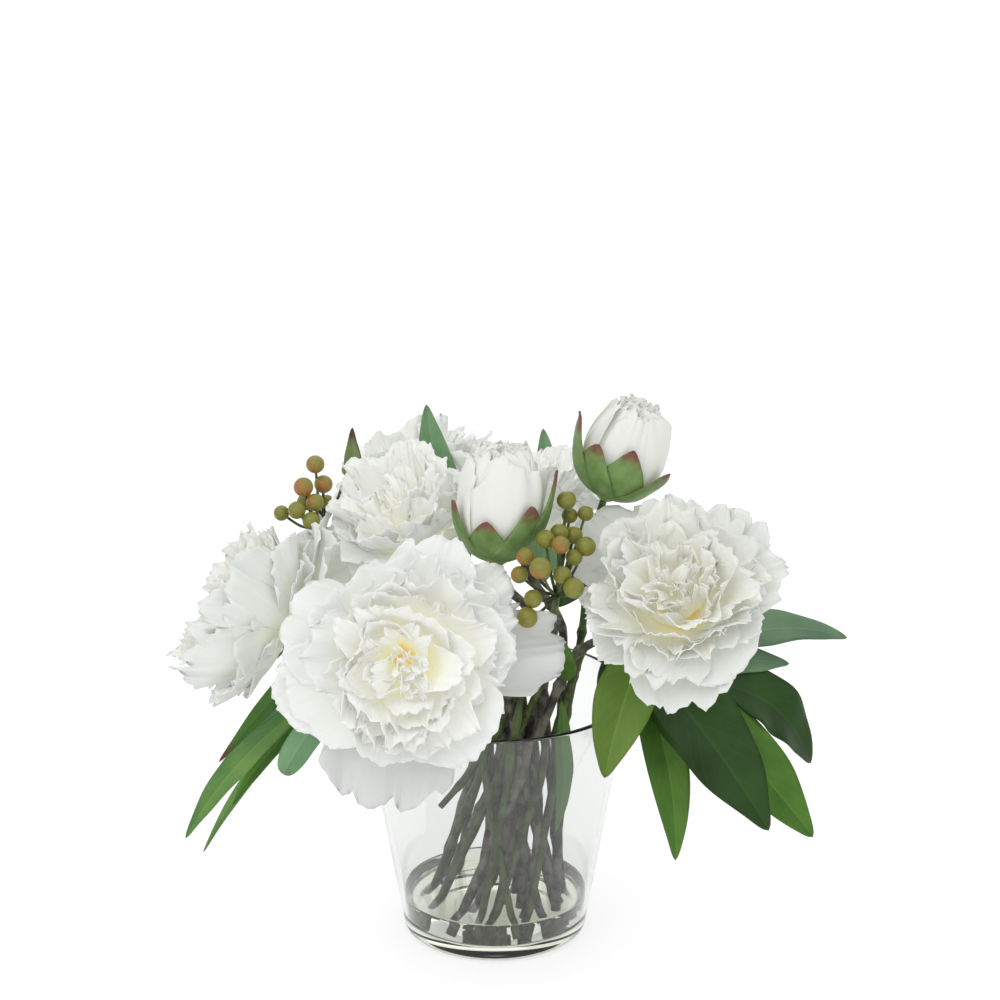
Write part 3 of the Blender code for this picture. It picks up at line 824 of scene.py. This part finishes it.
# look and fullness of each leaf
LEAVES = {
    "left_leaf_narrow": ("tipped", 1.0), "left_leaf_upper": ("cool", 1.0), "left_leaf_long": ("soft", 0.78),
    "left_leaf_blunt": ("pale", 0.9), "left_leaf_behind": ("fresh", 0.9), "left_leaf_low": ("soft", 0.8),
    "right_leaf_front": ("olive", 1.0), "right_leaf_large": ("deep", 1.15),
    "right_leaf_hanging": ("fresh", 0.95), "right_leaf_bright": ("fresh", 1.12),
    "right_leaf_dark": ("deep", 0.95), "right_leaf_far": ("cool", 1.1), "right_leaf_small": ("cool", 1.0),
    "neck_leaf_light": ("fresh", 1.1), "neck_leaf_dark": ("deep", 1.0), "top_leaf_left": ("rusty", 1.2),
    "top_leaf_centre": ("pale", 1.15), "top_leaf_back": ("pale", 1.3), "back_leaf": ("deep", 1.1),
    "vase_leaf": ("soft", 0.60),
}
for seed, (node, (kind, fullness)) in enumerate(LEAVES.items()):
    blade = lay_leaf(node, seed, fullness, node == "left_leaf_blunt")
    dress(join(node + "_blade", [blade]), LEAF_KINDS[kind], "leaf", node)

# %% [markdown]
# ## Petals
# An open peony is built from the outside in: broad guard petals that lie back, then ring after ring of
# shorter, steeper cups, and a loose crest of narrow petals in the heart. Every petal is a grid that is
# bent along a curve from the seat outwards and up, cupped across, and ruffled more and more towards
# its edge. A formula makes the ruffles because each petal differs; carving hundreds by hand would not.

# %% One petal


TOP_ROUNDING, NARROW_FOOT = 0.24, 0.26


def petal(chance, azimuth, belly, end, width, cup, frill, notch=0.10, tooth=0.010, lip=0.0, lean=0.0,
          roll=0.0, lobes=2.6, waves=1.7, depth=0.0, drift=(0.0, 0.0), columns=32, rows=18,
          start=(0.003, 0.0), shade=0.0):
    """A petal in its flower's own frame, whose axis is +Z.

    start, belly and end are (reach from the axis, rise above the seat). cup is the radius of the curve
    across the petal, frill the height of its ruffles, notch the depth of the clefts between its lobes,
    lip how far its edge rolls outwards, depth how far inside the flower it sits, from 0 to 1,
    drift how far its upper part is pushed sideways, and shade how grey it is, from 0 to 1.
    """
    sheet = grid_sheet("petal", columns, rows)
    flat = np.empty(len(sheet.data.vertices) * 3)
    sheet.data.vertices.foreach_get("co", flat)
    flat = flat.reshape(-1, 3)
    u, v = flat[:, 0], (flat[:, 1] + 1) / 2
    phase = phases(chance, 9)
    lobe = np.abs(np.sin(lobes * pi / 2 * u + phase[0])) ** 0.6
    cleft = notch * (0.55 + 0.45 * np.sin(1.9 * u + phase[1])) * (1 - lobe)
    saw = tooth * (1 + np.sin(12 * u + phase[2]) * np.sin(27 * u + phase[3]))
    t = v - (TOP_ROUNDING * np.abs(u) ** 2.8 + cleft + saw) * v ** 2.5
    s = 1.0 - t
    reach = s * s * start[0] + 2 * s * t * belly[0] + t * t * end[0]
    rise = s * s * start[1] + 2 * s * t * belly[1] + t * t * end[1]
    run_reach = 2 * s * (belly[0] - start[0]) + 2 * t * (end[0] - belly[0])
    run_rise = 2 * s * (belly[1] - start[1]) + 2 * t * (end[1] - belly[1])
    size = np.hypot(run_reach, run_rise) + 1e-9
    widening = np.sin(np.minimum(1.0, t / 0.74) * pi / 2) ** 1.3
    half = width / 2 * (NARROW_FOOT + (1.0 - NARROW_FOOT) * widening)
    bend = np.clip(u * half / cup, -2.0, 2.0)
    aside = cup * np.sin(bend)
    lift = cup * (1 - np.cos(bend))
    rim = v ** 2.3
    lift = lift + frill * rim * (np.sin(waves * pi * u + phase[4])
                                 + 0.55 * np.abs(u) * np.sin(2.2 * waves * pi * u + phase[5])
                                 + 0.30 * v ** 3 * np.sin(4.9 * waves * pi * u + phase[6])
                                 + 0.16 * v ** 5 * np.sin(11.0 * waves * pi * u + phase[2]))
    lift = lift + 0.16 * frill * np.sin(9 * u + phase[7]) * np.sin(pi * v) * v
    lift = lift - lip * np.clip((t - 0.62) / 0.38, 0.0, 1.5) ** 2
    aside = aside + 0.4 * frill * v ** 3 * np.cos(waves * pi * u * 1.3 + phase[8]) + lean * t * t
    reach = reach - lift * run_rise / size
    rise = rise + lift * run_reach / size
    turn = radians(roll)
    rise = rise + aside * sin(turn) * t
    aside = aside * (1 - (1 - cos(turn)) * t)
    angle = radians(azimuth)
    placed = np.stack([reach * cos(angle) - aside * sin(angle) + drift[0] * t,
                       reach * sin(angle) + aside * cos(angle) + drift[1] * t, rise], axis=1)
    sheet.data.vertices.foreach_set("co", placed.ravel())
    paint(sheet, "tone", np.full(len(placed), 0.30 * chance.random() + 0.70 * (1.0 - depth)))
    paint(sheet, "shade", np.full(len(placed), shade))
    sheet.data.update()
    return sheet


def finish_petals(name, petals, thickness, matrix):
    """Joins petals, gives them their thickness and stands them on their seat."""
    piece = join(name, petals)
    thicken(piece, thickness)
    piece.data.transform(matrix)
    piece.data.update()
    return piece


# %% [markdown]
# ## Petal tissue
# White petals are thin and let light through; here that light is painted as a glow the petals give off,
# strongest at the foot. Their foot is yellow-green, and the colour shows only deep between the petals.
# Fine fibres fan from foot to edge.

# %% Petal materials


def petal_material(name, foot, middle, edge_tint, middle_at, edge_at, glow_strength=0.16, fibres=46.0,
                   relief=0.0012):
    """foot, middle and edge_tint are colours; middle_at and edge_at say where two of them start."""
    material, tree, shader = new_material(name, middle, 0.62)
    uv = uv_of(tree)
    split = axes_of(tree, uv)
    shift = times(tree, maths(tree, "SUBTRACT", painted(tree, "tone"), 0.85), 0.32)
    reach = maths(tree, "ADD", split["Y"], shift)
    colour = blend_colours(tree, ramp_between(tree, reach, 0.05, middle_at), foot, middle)
    colour = blend_colours(tree, ramp_between(tree, reach, middle_at * 0.8, edge_at), colour, edge_tint)
    lines = use_group(tree, FIBRES, UV=uv, Fibres=fibres, Waver=0.5)
    streak = ramp_between(tree, lines, 0.35, 0.65)
    colour = blend_colours(tree, times(tree, streak, 0.08), colour, tuple(c * 0.8 for c in edge_tint))
    shade = painted(tree, "shade")
    colour = blend_colours(tree, shade, colour, tuple(c * 0.74 for c in edge_tint))
    # painted glow: the petals give off light of their own in place of the light that seeps through the petals
    # behind, strongest at the foot, none at the edge
    faded = tuple(c * 0.35 for c in edge_tint)
    glow = blend_colours(tree, ramp_between(tree, reach, 0.15, 1.0), middle, faded)
    glow = blend_colours(tree, shade, glow, (0.05, 0.05, 0.05))
    plug_all(tree, shader, {"Base Color": colour, "Emission Color": glow, "Emission Strength": glow_strength,
                            "Specular IOR Level": 0.25})
    bump(tree, shader, lines, 0.22, relief)
    return material


PETALS_LIT = [
    petal_material("guard_petal", (0.56, 0.63, 0.22), (0.84, 0.86, 0.70), (0.86, 0.87, 0.85),
                   0.30, 0.66),
    petal_material("heart_petal", (0.88, 0.66, 0.09), (0.89, 0.89, 0.72), (0.90, 0.90, 0.87),
                   0.34, 0.74, 0.20)]
# blooms that nod away from the light are a little greyer
PETALS_SHADED = [
    petal_material("guard_petal_shaded", (0.52, 0.59, 0.20), (0.80, 0.82, 0.68), (0.83, 0.84, 0.81),
                   0.30, 0.66, 0.12),
    petal_material("heart_petal_shaded", (0.80, 0.62, 0.10), (0.84, 0.83, 0.66), (0.86, 0.86, 0.81),
                   0.36, 0.78, 0.16)]

# %% Rings of an open bloom
# count, belly, end, width, cup, frill for a bloom 60 mm in radius and 50 mm high
GUARD_RINGS = [
    (5, (0.036, 0.000), (0.063, 0.014), 0.060, 0.080, 0.0028),
    (5, (0.036, 0.003), (0.059, 0.024), 0.060, 0.060, 0.0032),
    (6, (0.032, 0.005), (0.054, 0.031), 0.054, 0.048, 0.0034),
]
HEART_RINGS = [
    (6, (0.031, 0.004), (0.050, 0.036), 0.052, 0.036, 0.0036),
    (5, (0.028, 0.004), (0.043, 0.042), 0.050, 0.030, 0.0038),
    (5, (0.023, 0.005), (0.034, 0.043), 0.044, 0.024, 0.0038),
    (4, (0.017, 0.006), (0.025, 0.041), 0.038, 0.018, 0.0036),
    (4, (0.011, 0.008), (0.017, 0.037), 0.029, 0.014, 0.0030),
    (5, (0.006, 0.012), (0.010, 0.036), 0.015, 0.009, 0.0024),
    (4, (0.002, 0.014), (0.003, 0.036), 0.012, 0.008, 0.0022),
]
BLOOM_REACH, BLOOM_RISE = 0.060, 0.050
GUARD_THICKNESS, HEART_THICKNESS = 0.0004, 0.0003
HANGING_REACH = 0.08         # a petal that reaches out this far hangs in the shade of its own flower


def ring_of(chance, ring, wide, tall, first_angle, ruffled, saw, depth, drift=(0.0, 0.0)):
    count, belly, end, width, cup, frill = ring
    petals = []
    for number in range(count):
        grow = chance.uniform(0.88, 1.07) * (0.72 if chance.random() < 0.18 else 1.0)
        lift = chance.uniform(0.84, 1.10)
        petals.append(petal(
            chance, first_angle + 360.0 * (number + chance.uniform(-0.32, 0.32)) / count,
            (belly[0] * wide, belly[1] * tall), (end[0] * wide * grow, end[1] * tall * lift),
            width * wide * chance.uniform(0.85, 1.15), cup * wide * chance.uniform(0.8, 1.3),
            frill * wide * ruffled * chance.uniform(0.6, 1.5), notch=chance.uniform(0.05, 0.22),
            tooth=saw * chance.uniform(0.006, 0.014), lip=chance.uniform(-0.002, 0.009),
            lean=chance.uniform(-0.009, 0.009), roll=chance.uniform(-22, 22),
            lobes=chance.uniform(2.0, 4.5), waves=chance.uniform(1.1, 2.5), depth=depth,
            drift=(drift[0] * depth, drift[1] * depth)))
    return petals


def open_bloom(name, seed, ruffled, saw, fullness, push, extra=()):
    seat, axis = bloom_frame(name)
    matrix = stand(seat, axis)
    inverse = matrix.inverted()
    reach = max((inverse @ point).xy.length for point in corners(name + "_guard_petals"))
    wide = reach / 1.05 / BLOOM_REACH * fullness
    tall = max((inverse @ point).z for point in corners(name + "_heart_petals")) / BLOOM_RISE
    side = inverse.to_3x3() @ Vector(push)
    chance = random.Random(seed)
    guard = []
    for index, ring in enumerate(GUARD_RINGS):
        guard += ring_of(chance, ring, wide, tall, 30.0 * index, ruffled, saw, 0.0)
    for toward, belly, end, width, cup, lip in extra:
        way = inverse.to_3x3() @ Vector(toward)
        azimuth = degrees(atan2(way.y, way.x))
        hanging = end[0] > HANGING_REACH
        frill, notch, shade = (0.0040, 0.16, 0.75) if hanging else (0.0030, 0.12, 0.0)
        guard.append(petal(chance, azimuth, belly, end, width, cup, frill * ruffled, notch=notch,
                           tooth=0.012 * saw, lip=lip, lobes=3.6, waves=2.2, shade=shade))
    heart = []
    for index, ring in enumerate(HEART_RINGS):
        heart += ring_of(chance, ring, wide, tall, 37.0 * index, ruffled, saw, index / (len(HEART_RINGS) - 1),
                         (side.x, side.y))
    guard = finish_petals(name + "_guard_ring", guard, GUARD_THICKNESS, matrix)
    heart = finish_petals(name + "_heart_rosette", heart, HEART_THICKNESS, matrix)
    # painted shade: the right and left blooms get the greyer, shaded copies of the petal materials
    lit_or_shaded_petals = PETALS_SHADED if name in ("right", "left") else PETALS_LIT
    dress(guard, lit_or_shaded_petals[0], "guard_petals", name + "_guard_petals")
    dress(heart, lit_or_shaded_petals[1], "heart_petals", name + "_heart_petals")


# long guard petals that hang or reach out: the way they go, belly, end, width, cup, lip
EXTRA = {
    "front": [
        ((-0.16, 0.0, -1.0), (0.042, -0.004), (0.082, 0.002), 0.074, 0.090, 0.003),
        ((1.0, 0.0, 0.10), (0.045, -0.006), (0.088, -0.004), 0.052, 0.080, 0.003),
        ((-1.0, 0.0, 0.35), (0.040, -0.001), (0.068, 0.008), 0.060, 0.070, 0.002),
        ((-1.0, 0.0, -0.35), (0.042, -0.001), (0.072, 0.008), 0.052, 0.070, 0.004),
        ((1.0, 0.0, 0.9), (0.042, -0.002), (0.072, 0.004), 0.036, 0.050, 0.004),
    ],
    "right": [
        ((-0.72, 0.0, 1.0), (0.042, -0.003), (0.078, 0.010), 0.056, 0.070, 0.002),
        ((-0.2, 0.0, 1.0), (0.038, -0.001), (0.062, 0.020), 0.048, 0.060, 0.002),
        ((0.5, 0.0, 1.0), (0.040, -0.001), (0.062, 0.018), 0.048, 0.060, 0.002),
        ((0.1, 0.0, -1.0), (0.038, -0.003), (0.063, 0.006), 0.056, 0.070, 0.002),
    ],
    "left": [
        ((0.42, -0.3, 0.9), (0.042, -0.004), (0.066, 0.004), 0.056, 0.060, 0.001),
        ((0.3, 0.4, 0.9), (0.042, -0.002), (0.068, 0.010), 0.056, 0.060, 0.001),
        ((-0.3, -0.6, -0.7), (0.038, 0.002), (0.054, 0.026), 0.052, 0.050, 0.001),
        ((0.0, -1.0, -0.5), (0.040, 0.002), (0.054, 0.058), 0.058, 0.050, 0.003),
        ((0.0, -1.0, 0.1), (0.042, 0.004), (0.052, 0.062), 0.062, 0.050, 0.004),
        ((0.2, -1.0, 0.7), (0.040, 0.002), (0.056, 0.054), 0.058, 0.050, 0.003),
    ],
    "upper_left": [
        ((-1.0, 0.0, -0.2), (0.036, -0.004), (0.058, -0.002), 0.046, 0.060, 0.004),
        ((-0.7, -0.7, -0.2), (0.034, -0.004), (0.056, -0.006), 0.046, 0.060, 0.005),
    ],
}
# seed, ruffles, saw teeth, size against the solid, the way the heart is pushed to one side
BLOOM_LOOKS = {
    "front": (41, 0.90, 1.1, 1.0, (-0.004, 0.0, -0.008)),
    "right": (52, 0.95, 0.8, 1.03, (-0.004, 0.0, 0.004)),
    "left": (43, 1.1, 1.8, 1.10, (0.0, 0.0, 0.0)),
    "upper_left": (44, 1.0, 1.4, 1.05, (0.0, -0.004, 0.0)),
    "back_centre": (45, 1.2, 1.2, 1.08, (0.0, 0.0, 0.0)),
    "back_left": (46, 1.2, 1.2, 1.0, (0.0, 0.0, 0.0))}
for bloom in BLOOMS:
    open_bloom(bloom, *BLOOM_LOOKS[bloom], extra=EXTRA.get(bloom, ()))

# %% [markdown]
# ## Calyx and sepals
# Under each bloom five small green sepals sit in a ring. On a bud they are still large, wrap the ball
# of petals and end in a red-brown ragged tip. A sepal is a thick small petal with a pointed outline,
# shaped by a maker of its own.

# %% Sepal material
sepal_green, tree, shader = new_material("sepal_green", (0.16, 0.30, 0.06), 0.5)
uv = uv_of(tree)
blotch = use_group(tree, MOTTLE, Scale=90.0, Low=0.3, High=0.7)
colour = blend_colours(tree, blotch, (0.115, 0.215, 0.045), (0.21, 0.34, 0.105))
edge = use_group(tree, MARGIN, UV=uv, Tip=0.80, Edge=0.95, Ragged=0.25)
colour = blend_colours(tree, edge, colour, (0.20, 0.075, 0.05))
plug(tree, colour, shader.inputs["Base Color"])
fibres = use_group(tree, FIBRES, UV=uv, Fibres=24.0, Waver=0.4)
bump(tree, shader, fibres, 0.35, 0.0008)

# %% Sepals under the blooms


def sepal(chance, azimuth, profile, width, point=0.75, flare=0.0, thickness_rows=14):
    """A pointed sepal laid along a profile of (reach, rise) points."""
    sheet = grid_sheet("sepal", 10, thickness_rows)
    line = smooth_line([Vector((reach, 0.0, rise)) for reach, rise in profile], 8)
    phase = chance.uniform(0, ROUND)
    turn = Matrix.Rotation(radians(azimuth), 3, "Z")
    for corner in sheet.data.vertices:
        u, v = corner.co.x, (corner.co.y + 1) / 2
        index, part = step_at(line, v)
        centre = line[index].lerp(line[index + 1], part)
        way = (line[index + 1] - line[index]).normalized()
        outward = Vector((way.z, 0.0, -way.x))
        half = width / 2 * (0.55 + 0.45 * sin(pi * min(v / 0.8, 1.0) ** 0.9)) if v < 0.4 else (
            width / 2 * max(0.02, 1.0 - ((v - 0.4) / 0.6) ** 2.0 * 1.0) ** point)
        reach = max(centre.x, 0.004)
        bend = min(max(u * half / reach, -1.4), 1.4)
        place = Vector((0.0, reach * sin(bend), 0.0)) + centre
        place.x -= reach * (1.0 - cos(bend))
        place += outward * (flare * v ** 4 + 0.0006 * sin(9 * v + phase + 2 * u) * v)
        corner.co = turn @ place
    sheet.data.update()
    return sheet


def up_the_axis(*heights):
    return [Vector((0, 0, height)) for height in heights]


CALYX_THICKNESS, BUD_SEPAL_THICKNESS = 0.0007, 0.0008
CUP_PROFILE = [(0.0034, -0.0066), (0.0065, -0.0048), (0.0105, -0.0022), (0.0155, -0.0005),
               (0.020, 0.0022)]
for seed, bloom in enumerate(BLOOMS):
    seat, axis = bloom_frame(bloom)
    chance = random.Random(70 + seed)
    sepals = [sepal(chance, 72.0 * number + chance.uniform(-8, 8), CUP_PROFILE, 0.014)
              for number in range(5)]
    sepals.append(rod("receptacle", up_the_axis(-0.0072, -0.0055, -0.003, -0.0006),
                      [0.0031, 0.0048, 0.0072, 0.0084], 4))
    calyx = finish_petals(bloom + "_sepals", sepals, CALYX_THICKNESS, stand(seat, axis))
    dress(calyx, sepal_green, "sepals", bloom + "_calyx")

# %% [markdown]
# ## Buds
# A bud is a ball of petals that still wrap one another. The petals follow one egg-shaped profile, each
# a little further out than the last, so their edges spiral. The sepals follow the same profile.

# %% Bud petals and sepals
BUD_PETAL = petal_material("bud_petal", (0.56, 0.60, 0.36), (0.77, 0.76, 0.67), (0.81, 0.81, 0.77), 0.30, 0.6,
                           fibres=14.0, relief=0.0007)


GOLDEN_ANGLE = 137.5         # degrees between one petal of a bud and the next


def egg(radius, height, share, grow, belly):
    """(reach, rise) on an egg-shaped profile; a positive belly puts the widest part low."""
    turn = pi * share
    return ((radius + grow) * max(0.0, sin(turn)) ** 0.85 * (1.0 + belly * cos(turn)),
            height / 2 * (1.0 - cos(turn)) - grow * cos(turn))


CREST_FROM = 0.55            # the share of a petal's height where its crest starts


def wrap_petal(chance, azimuth, radius, height, grow, width, top, belly, crest):
    """A petal that follows the egg from its base to a share of its height, with a ruffled crest."""
    sheet = grid_sheet("petal", 26, 26)
    phase = phases(chance, 6)
    for corner in sheet.data.vertices:
        u, v = corner.co.x, (corner.co.y + 1) / 2
        cleft = 0.10 * (1 - abs(sin(2.2 * u + phase[0])) ** 0.6)
        teeth = 0.012 * sin(13 * u + phase[1]) + 0.010 * sin(29 * u + phase[5])
        outline = 0.16 * abs(u) ** 2.4 + cleft + teeth
        share = 0.03 + (top - 0.03) * (v - outline * v ** 2.5)
        fold = 0.0014 * sin(4.2 * u + phase[2]) * v + 0.0008 * sin(11 * u + phase[3] + 2 * v) * v
        ruffle = 0.5 + sin(6 * u + phase[4]) + 0.6 * sin(15 * u + phase[0])
        fold += crest * max(0.0, (v - CREST_FROM) / (1.0 - CREST_FROM)) ** 2 * ruffle
        reach, rise = egg(radius, height, share, grow + fold + 0.0010 * u, belly)
        bend = radians(azimuth) + u * width * (0.45 + 0.55 * sin(pi / 2 * min(1, v / 0.5)))
        corner.co = (reach * cos(bend), reach * sin(bend), rise)
    paint(sheet, "tone", np.full(len(sheet.data.vertices), 0.75 + 0.25 * chance.random()))
    sheet.data.update()
    return sheet


def build_bud(name, seed, belly, first_top, last_top, crest, sepal_list):
    """sepal_list: compass direction, share of the height reached, width, flare of each sepal."""
    seat, axis = flower_frame(name + "_sepals", name + "_petals", name + "_petals")
    matrix = stand(seat, axis)
    inverse = matrix.inverted()
    points = [inverse @ point for point in corners(name + "_petals")]
    radius = max(point.xy.length for point in points) / 1.02
    height = max(point.z for point in points)
    chance = random.Random(seed)
    petals = []
    for number in range(BUD_PETALS):
        share = number / (BUD_PETALS - 1)
        petals.append(wrap_petal(chance, GOLDEN_ANGLE * number, radius, height, -0.0045 + 0.0045 * share,
                                 chance.uniform(0.95, 1.25),
                                 first_top + (last_top - first_top) * share, belly, crest * share))
    for number in range(CREST_PETALS):
        inner = number % 3
        petals.append(petal(chance, GOLDEN_ANGLE * number, (0.010 - 0.003 * inner, 0.80 * height),
                            (0.012 - 0.005 * inner, height * chance.uniform(0.93, 1.00 + 0.02 * inner)),
                            0.021 - 0.003 * inner, 0.009, 0.0022, notch=0.2, tooth=0.02,
                            roll=chance.uniform(-30, 30), lobes=3.0, waves=2.0, columns=20, rows=12,
                            start=(0.006, 0.50 * height)))
    ball = finish_petals(name + "_ball", petals, GUARD_THICKNESS, matrix)
    dress(ball, BUD_PETAL, "heart_petals", name + "_petals")
    sepals = []
    for compass, top, width, flare in sepal_list:
        heading = radians(compass)
        way = inverse.to_3x3() @ Vector((cos(heading), sin(heading), 0.0))
        profile = [egg(radius, height, top * part + 0.03 * (1 - part),
                       0.0022 + 0.6 * flare * part ** 3, belly) for part in (step / 6 for step in range(7))]
        sepals.append(sepal(chance, degrees(atan2(way.y, way.x)), profile, width, 0.90, flare, 22))
    sepals.append(rod("cup", up_the_axis(-0.0052, -0.004, -0.002, 0.0004),
                      [0.0027, 0.0045, 0.0066, 0.0078], 4))
    cup = finish_petals(name + "_sepal_cup", sepals, BUD_SEPAL_THICKNESS, matrix)
    dress(cup, sepal_green, "sepals", name + "_sepals")


BUD_PETALS, CREST_PETALS = 12, 12
build_bud("front_bud", 5, 0.02, 1.0, 0.76, 0.0026, [
    (-155, 0.52, 0.022, 0.0015), (-106, 0.46, 0.029, 0.0005), (-52, 0.54, 0.030, 0.0015),
    (-18, 0.68, 0.024, 0.006), (60, 0.54, 0.026, 0.002), (125, 0.54, 0.026, 0.002)])
build_bud("top_bud", 9, 0.17, 1.0, 0.82, 0.0018, [
    (-168, 0.62, 0.030, 0.007), (-130, 0.54, 0.030, 0.003), (-86, 0.58, 0.031, 0.0008),
    (-34, 0.50, 0.032, 0.004), (40, 0.58, 0.028, 0.003), (105, 0.62, 0.026, 0.003)])

# %% [markdown]
# ## Berries
# The berries are smooth, a little flattened at the top, and ripen from green to
# orange on the side that had the light. Each hangs on its own short stalk from the branching stem.

# %% Berry skin
berry_skin, tree, shader = new_material("berry_skin", (0.45, 0.42, 0.10), 0.32)
blotch = use_group(tree, MOTTLE, Scale=110.0, Low=0.35, High=0.65)
mask = maths(tree, "ADD", times(tree, painted(tree, "tone"), 1.2),
             times(tree, maths(tree, "SUBTRACT", blotch, 0.6), 0.7))
colour = blend_colours(tree, ramp_between(tree, mask, 0.25, 1.0), (0.225, 0.225, 0.032), (0.37, 0.16, 0.035))
speck = use_group(tree, MOTTLE, Scale=900.0, Low=0.55, High=0.75)
colour = blend_colours(tree, times(tree, speck, 0.18), colour, (0.62, 0.52, 0.22))
plug_all(tree, shader, {"Base Color": colour, "Subsurface Weight": 0.15, "Subsurface Scale": 0.002})
bump(tree, shader, speck, 0.12, 0.0002)

# %% Berries and stalks
# centre from the vase's mouth and radius of each berry, and how ripe it is, 0 green to 1 orange
SPRAYS = {
    "left_berries": [
        (-0.0994, 0.0180, 0.1263, 0.0052, 0.85), (-0.1056, 0.0080, 0.1164, 0.0055, 0.75),
        (-0.0951, 0.0180, 0.1147, 0.0052, 0.80), (-0.1180, 0.0080, 0.1012, 0.0044, 0.0),
        (-0.1050, 0.0170, 0.1047, 0.0050, 0.30), (-0.1090, 0.0000, 0.1057, 0.0050, 0.35),
        (-0.0990, 0.0045, 0.1087, 0.0050, 0.60), (-0.0940, 0.0250, 0.1019, 0.0042, 0.20),
        (-0.1010, -0.0020, 0.1002, 0.0050, 0.10), (-0.0825, 0.0410, 0.1152, 0.0037, 0.20)],
    "centre_berries": [
        (0.0386, -0.0400, 0.1253, 0.0053, 0.15), (0.0490, -0.0360, 0.1164, 0.0044, 0.10),
        (0.0405, -0.0340, 0.1144, 0.0044, 0.05), (0.0270, -0.0600, 0.1101, 0.0052, 0.15),
        (0.0347, -0.0500, 0.1104, 0.0050, 0.10), (0.0425, -0.0450, 0.1071, 0.0050, 0.15),
        (0.0350, -0.0660, 0.1091, 0.0050, 0.55), (0.0488, -0.0560, 0.1046, 0.0055, 0.20),
        (0.0424, -0.0600, 0.0999, 0.0046, 0.15), (0.0165, -0.0650, 0.1024, 0.0051, 0.75),
        (0.0243, -0.0760, 0.0997, 0.0060, 0.65), (0.0132, -0.0665, 0.0924, 0.0047, 0.70),
        (0.0360, -0.0690, 0.0931, 0.0050, 0.20), (0.0420, -0.0760, 0.0883, 0.0056, 0.0),
        (0.0205, -0.0710, 0.0804, 0.0050, 0.20), (0.0174, -0.0740, 0.0709, 0.0057, 0.30)],
}
MOUTH = Vector((0.0, 0.0, HEIGHT))
SUNNY_SIDE = Vector((-0.6, -0.6, -0.5)).normalized()


def berry(centre, radius, ripeness, hang):
    """A ball with a dimple on the side away from its stalk."""
    only()
    bpy.ops.mesh.primitive_uv_sphere_add(segments=24, ring_count=14, radius=radius, location=(0, 0, 0))
    ball = bpy.context.object
    for corner in ball.data.vertices:
        height = corner.co.z / radius
        if height > 0.90:
            corner.co.z -= radius * 0.9 * (height - 0.90)
        corner.co.z *= 0.96
    turn = Vector((0, 0, 1)).rotation_difference(-hang)
    ball.data.transform(Matrix.Translation(centre) @ turn.to_matrix().to_4x4())
    sunny = [(corner.co - centre).normalized().dot(SUNNY_SIDE) for corner in ball.data.vertices]
    paint(ball, "tone", [ripeness * (0.55 + 0.45 * share) for share in sunny])
    ball.data.materials.append(berry_skin)
    return ball


for node, berries in SPRAYS.items():
    stalk_line = centre_line(node, 6)
    line = smooth_line(stalk_line, 10)
    chance = random.Random(len(berries))
    stalk = rod("stalk", line, knuckled(line, 0.0021, knuckles(line, chance)))
    stalk.data.materials.append(GREEN_STALK)
    pieces = [stalk]
    top = line[-1]
    for x, y, z, radius, ripeness in berries:
        centre = MOUTH + Vector((x, y, z))
        fork = min(line[-14:], key=lambda point: (point - centre).length + 0.4 * (point - top).length)
        sag = (fork + centre) / 2 - Vector((0, 0, 0.10 * (centre - fork).length))
        branch = smooth_line([fork, sag, centre], 6)
        twig = rod("twig", branch, [0.0010 - 0.0003 * step / len(branch) for step in range(len(branch))], 1)
        twig.data.materials.append(GREEN_STALK)
        pieces.append(twig)
        pieces.append(berry(centre, radius, ripeness, (sag - centre).normalized()))
    dress(join(node + "_spray", pieces), None, "berries", node)
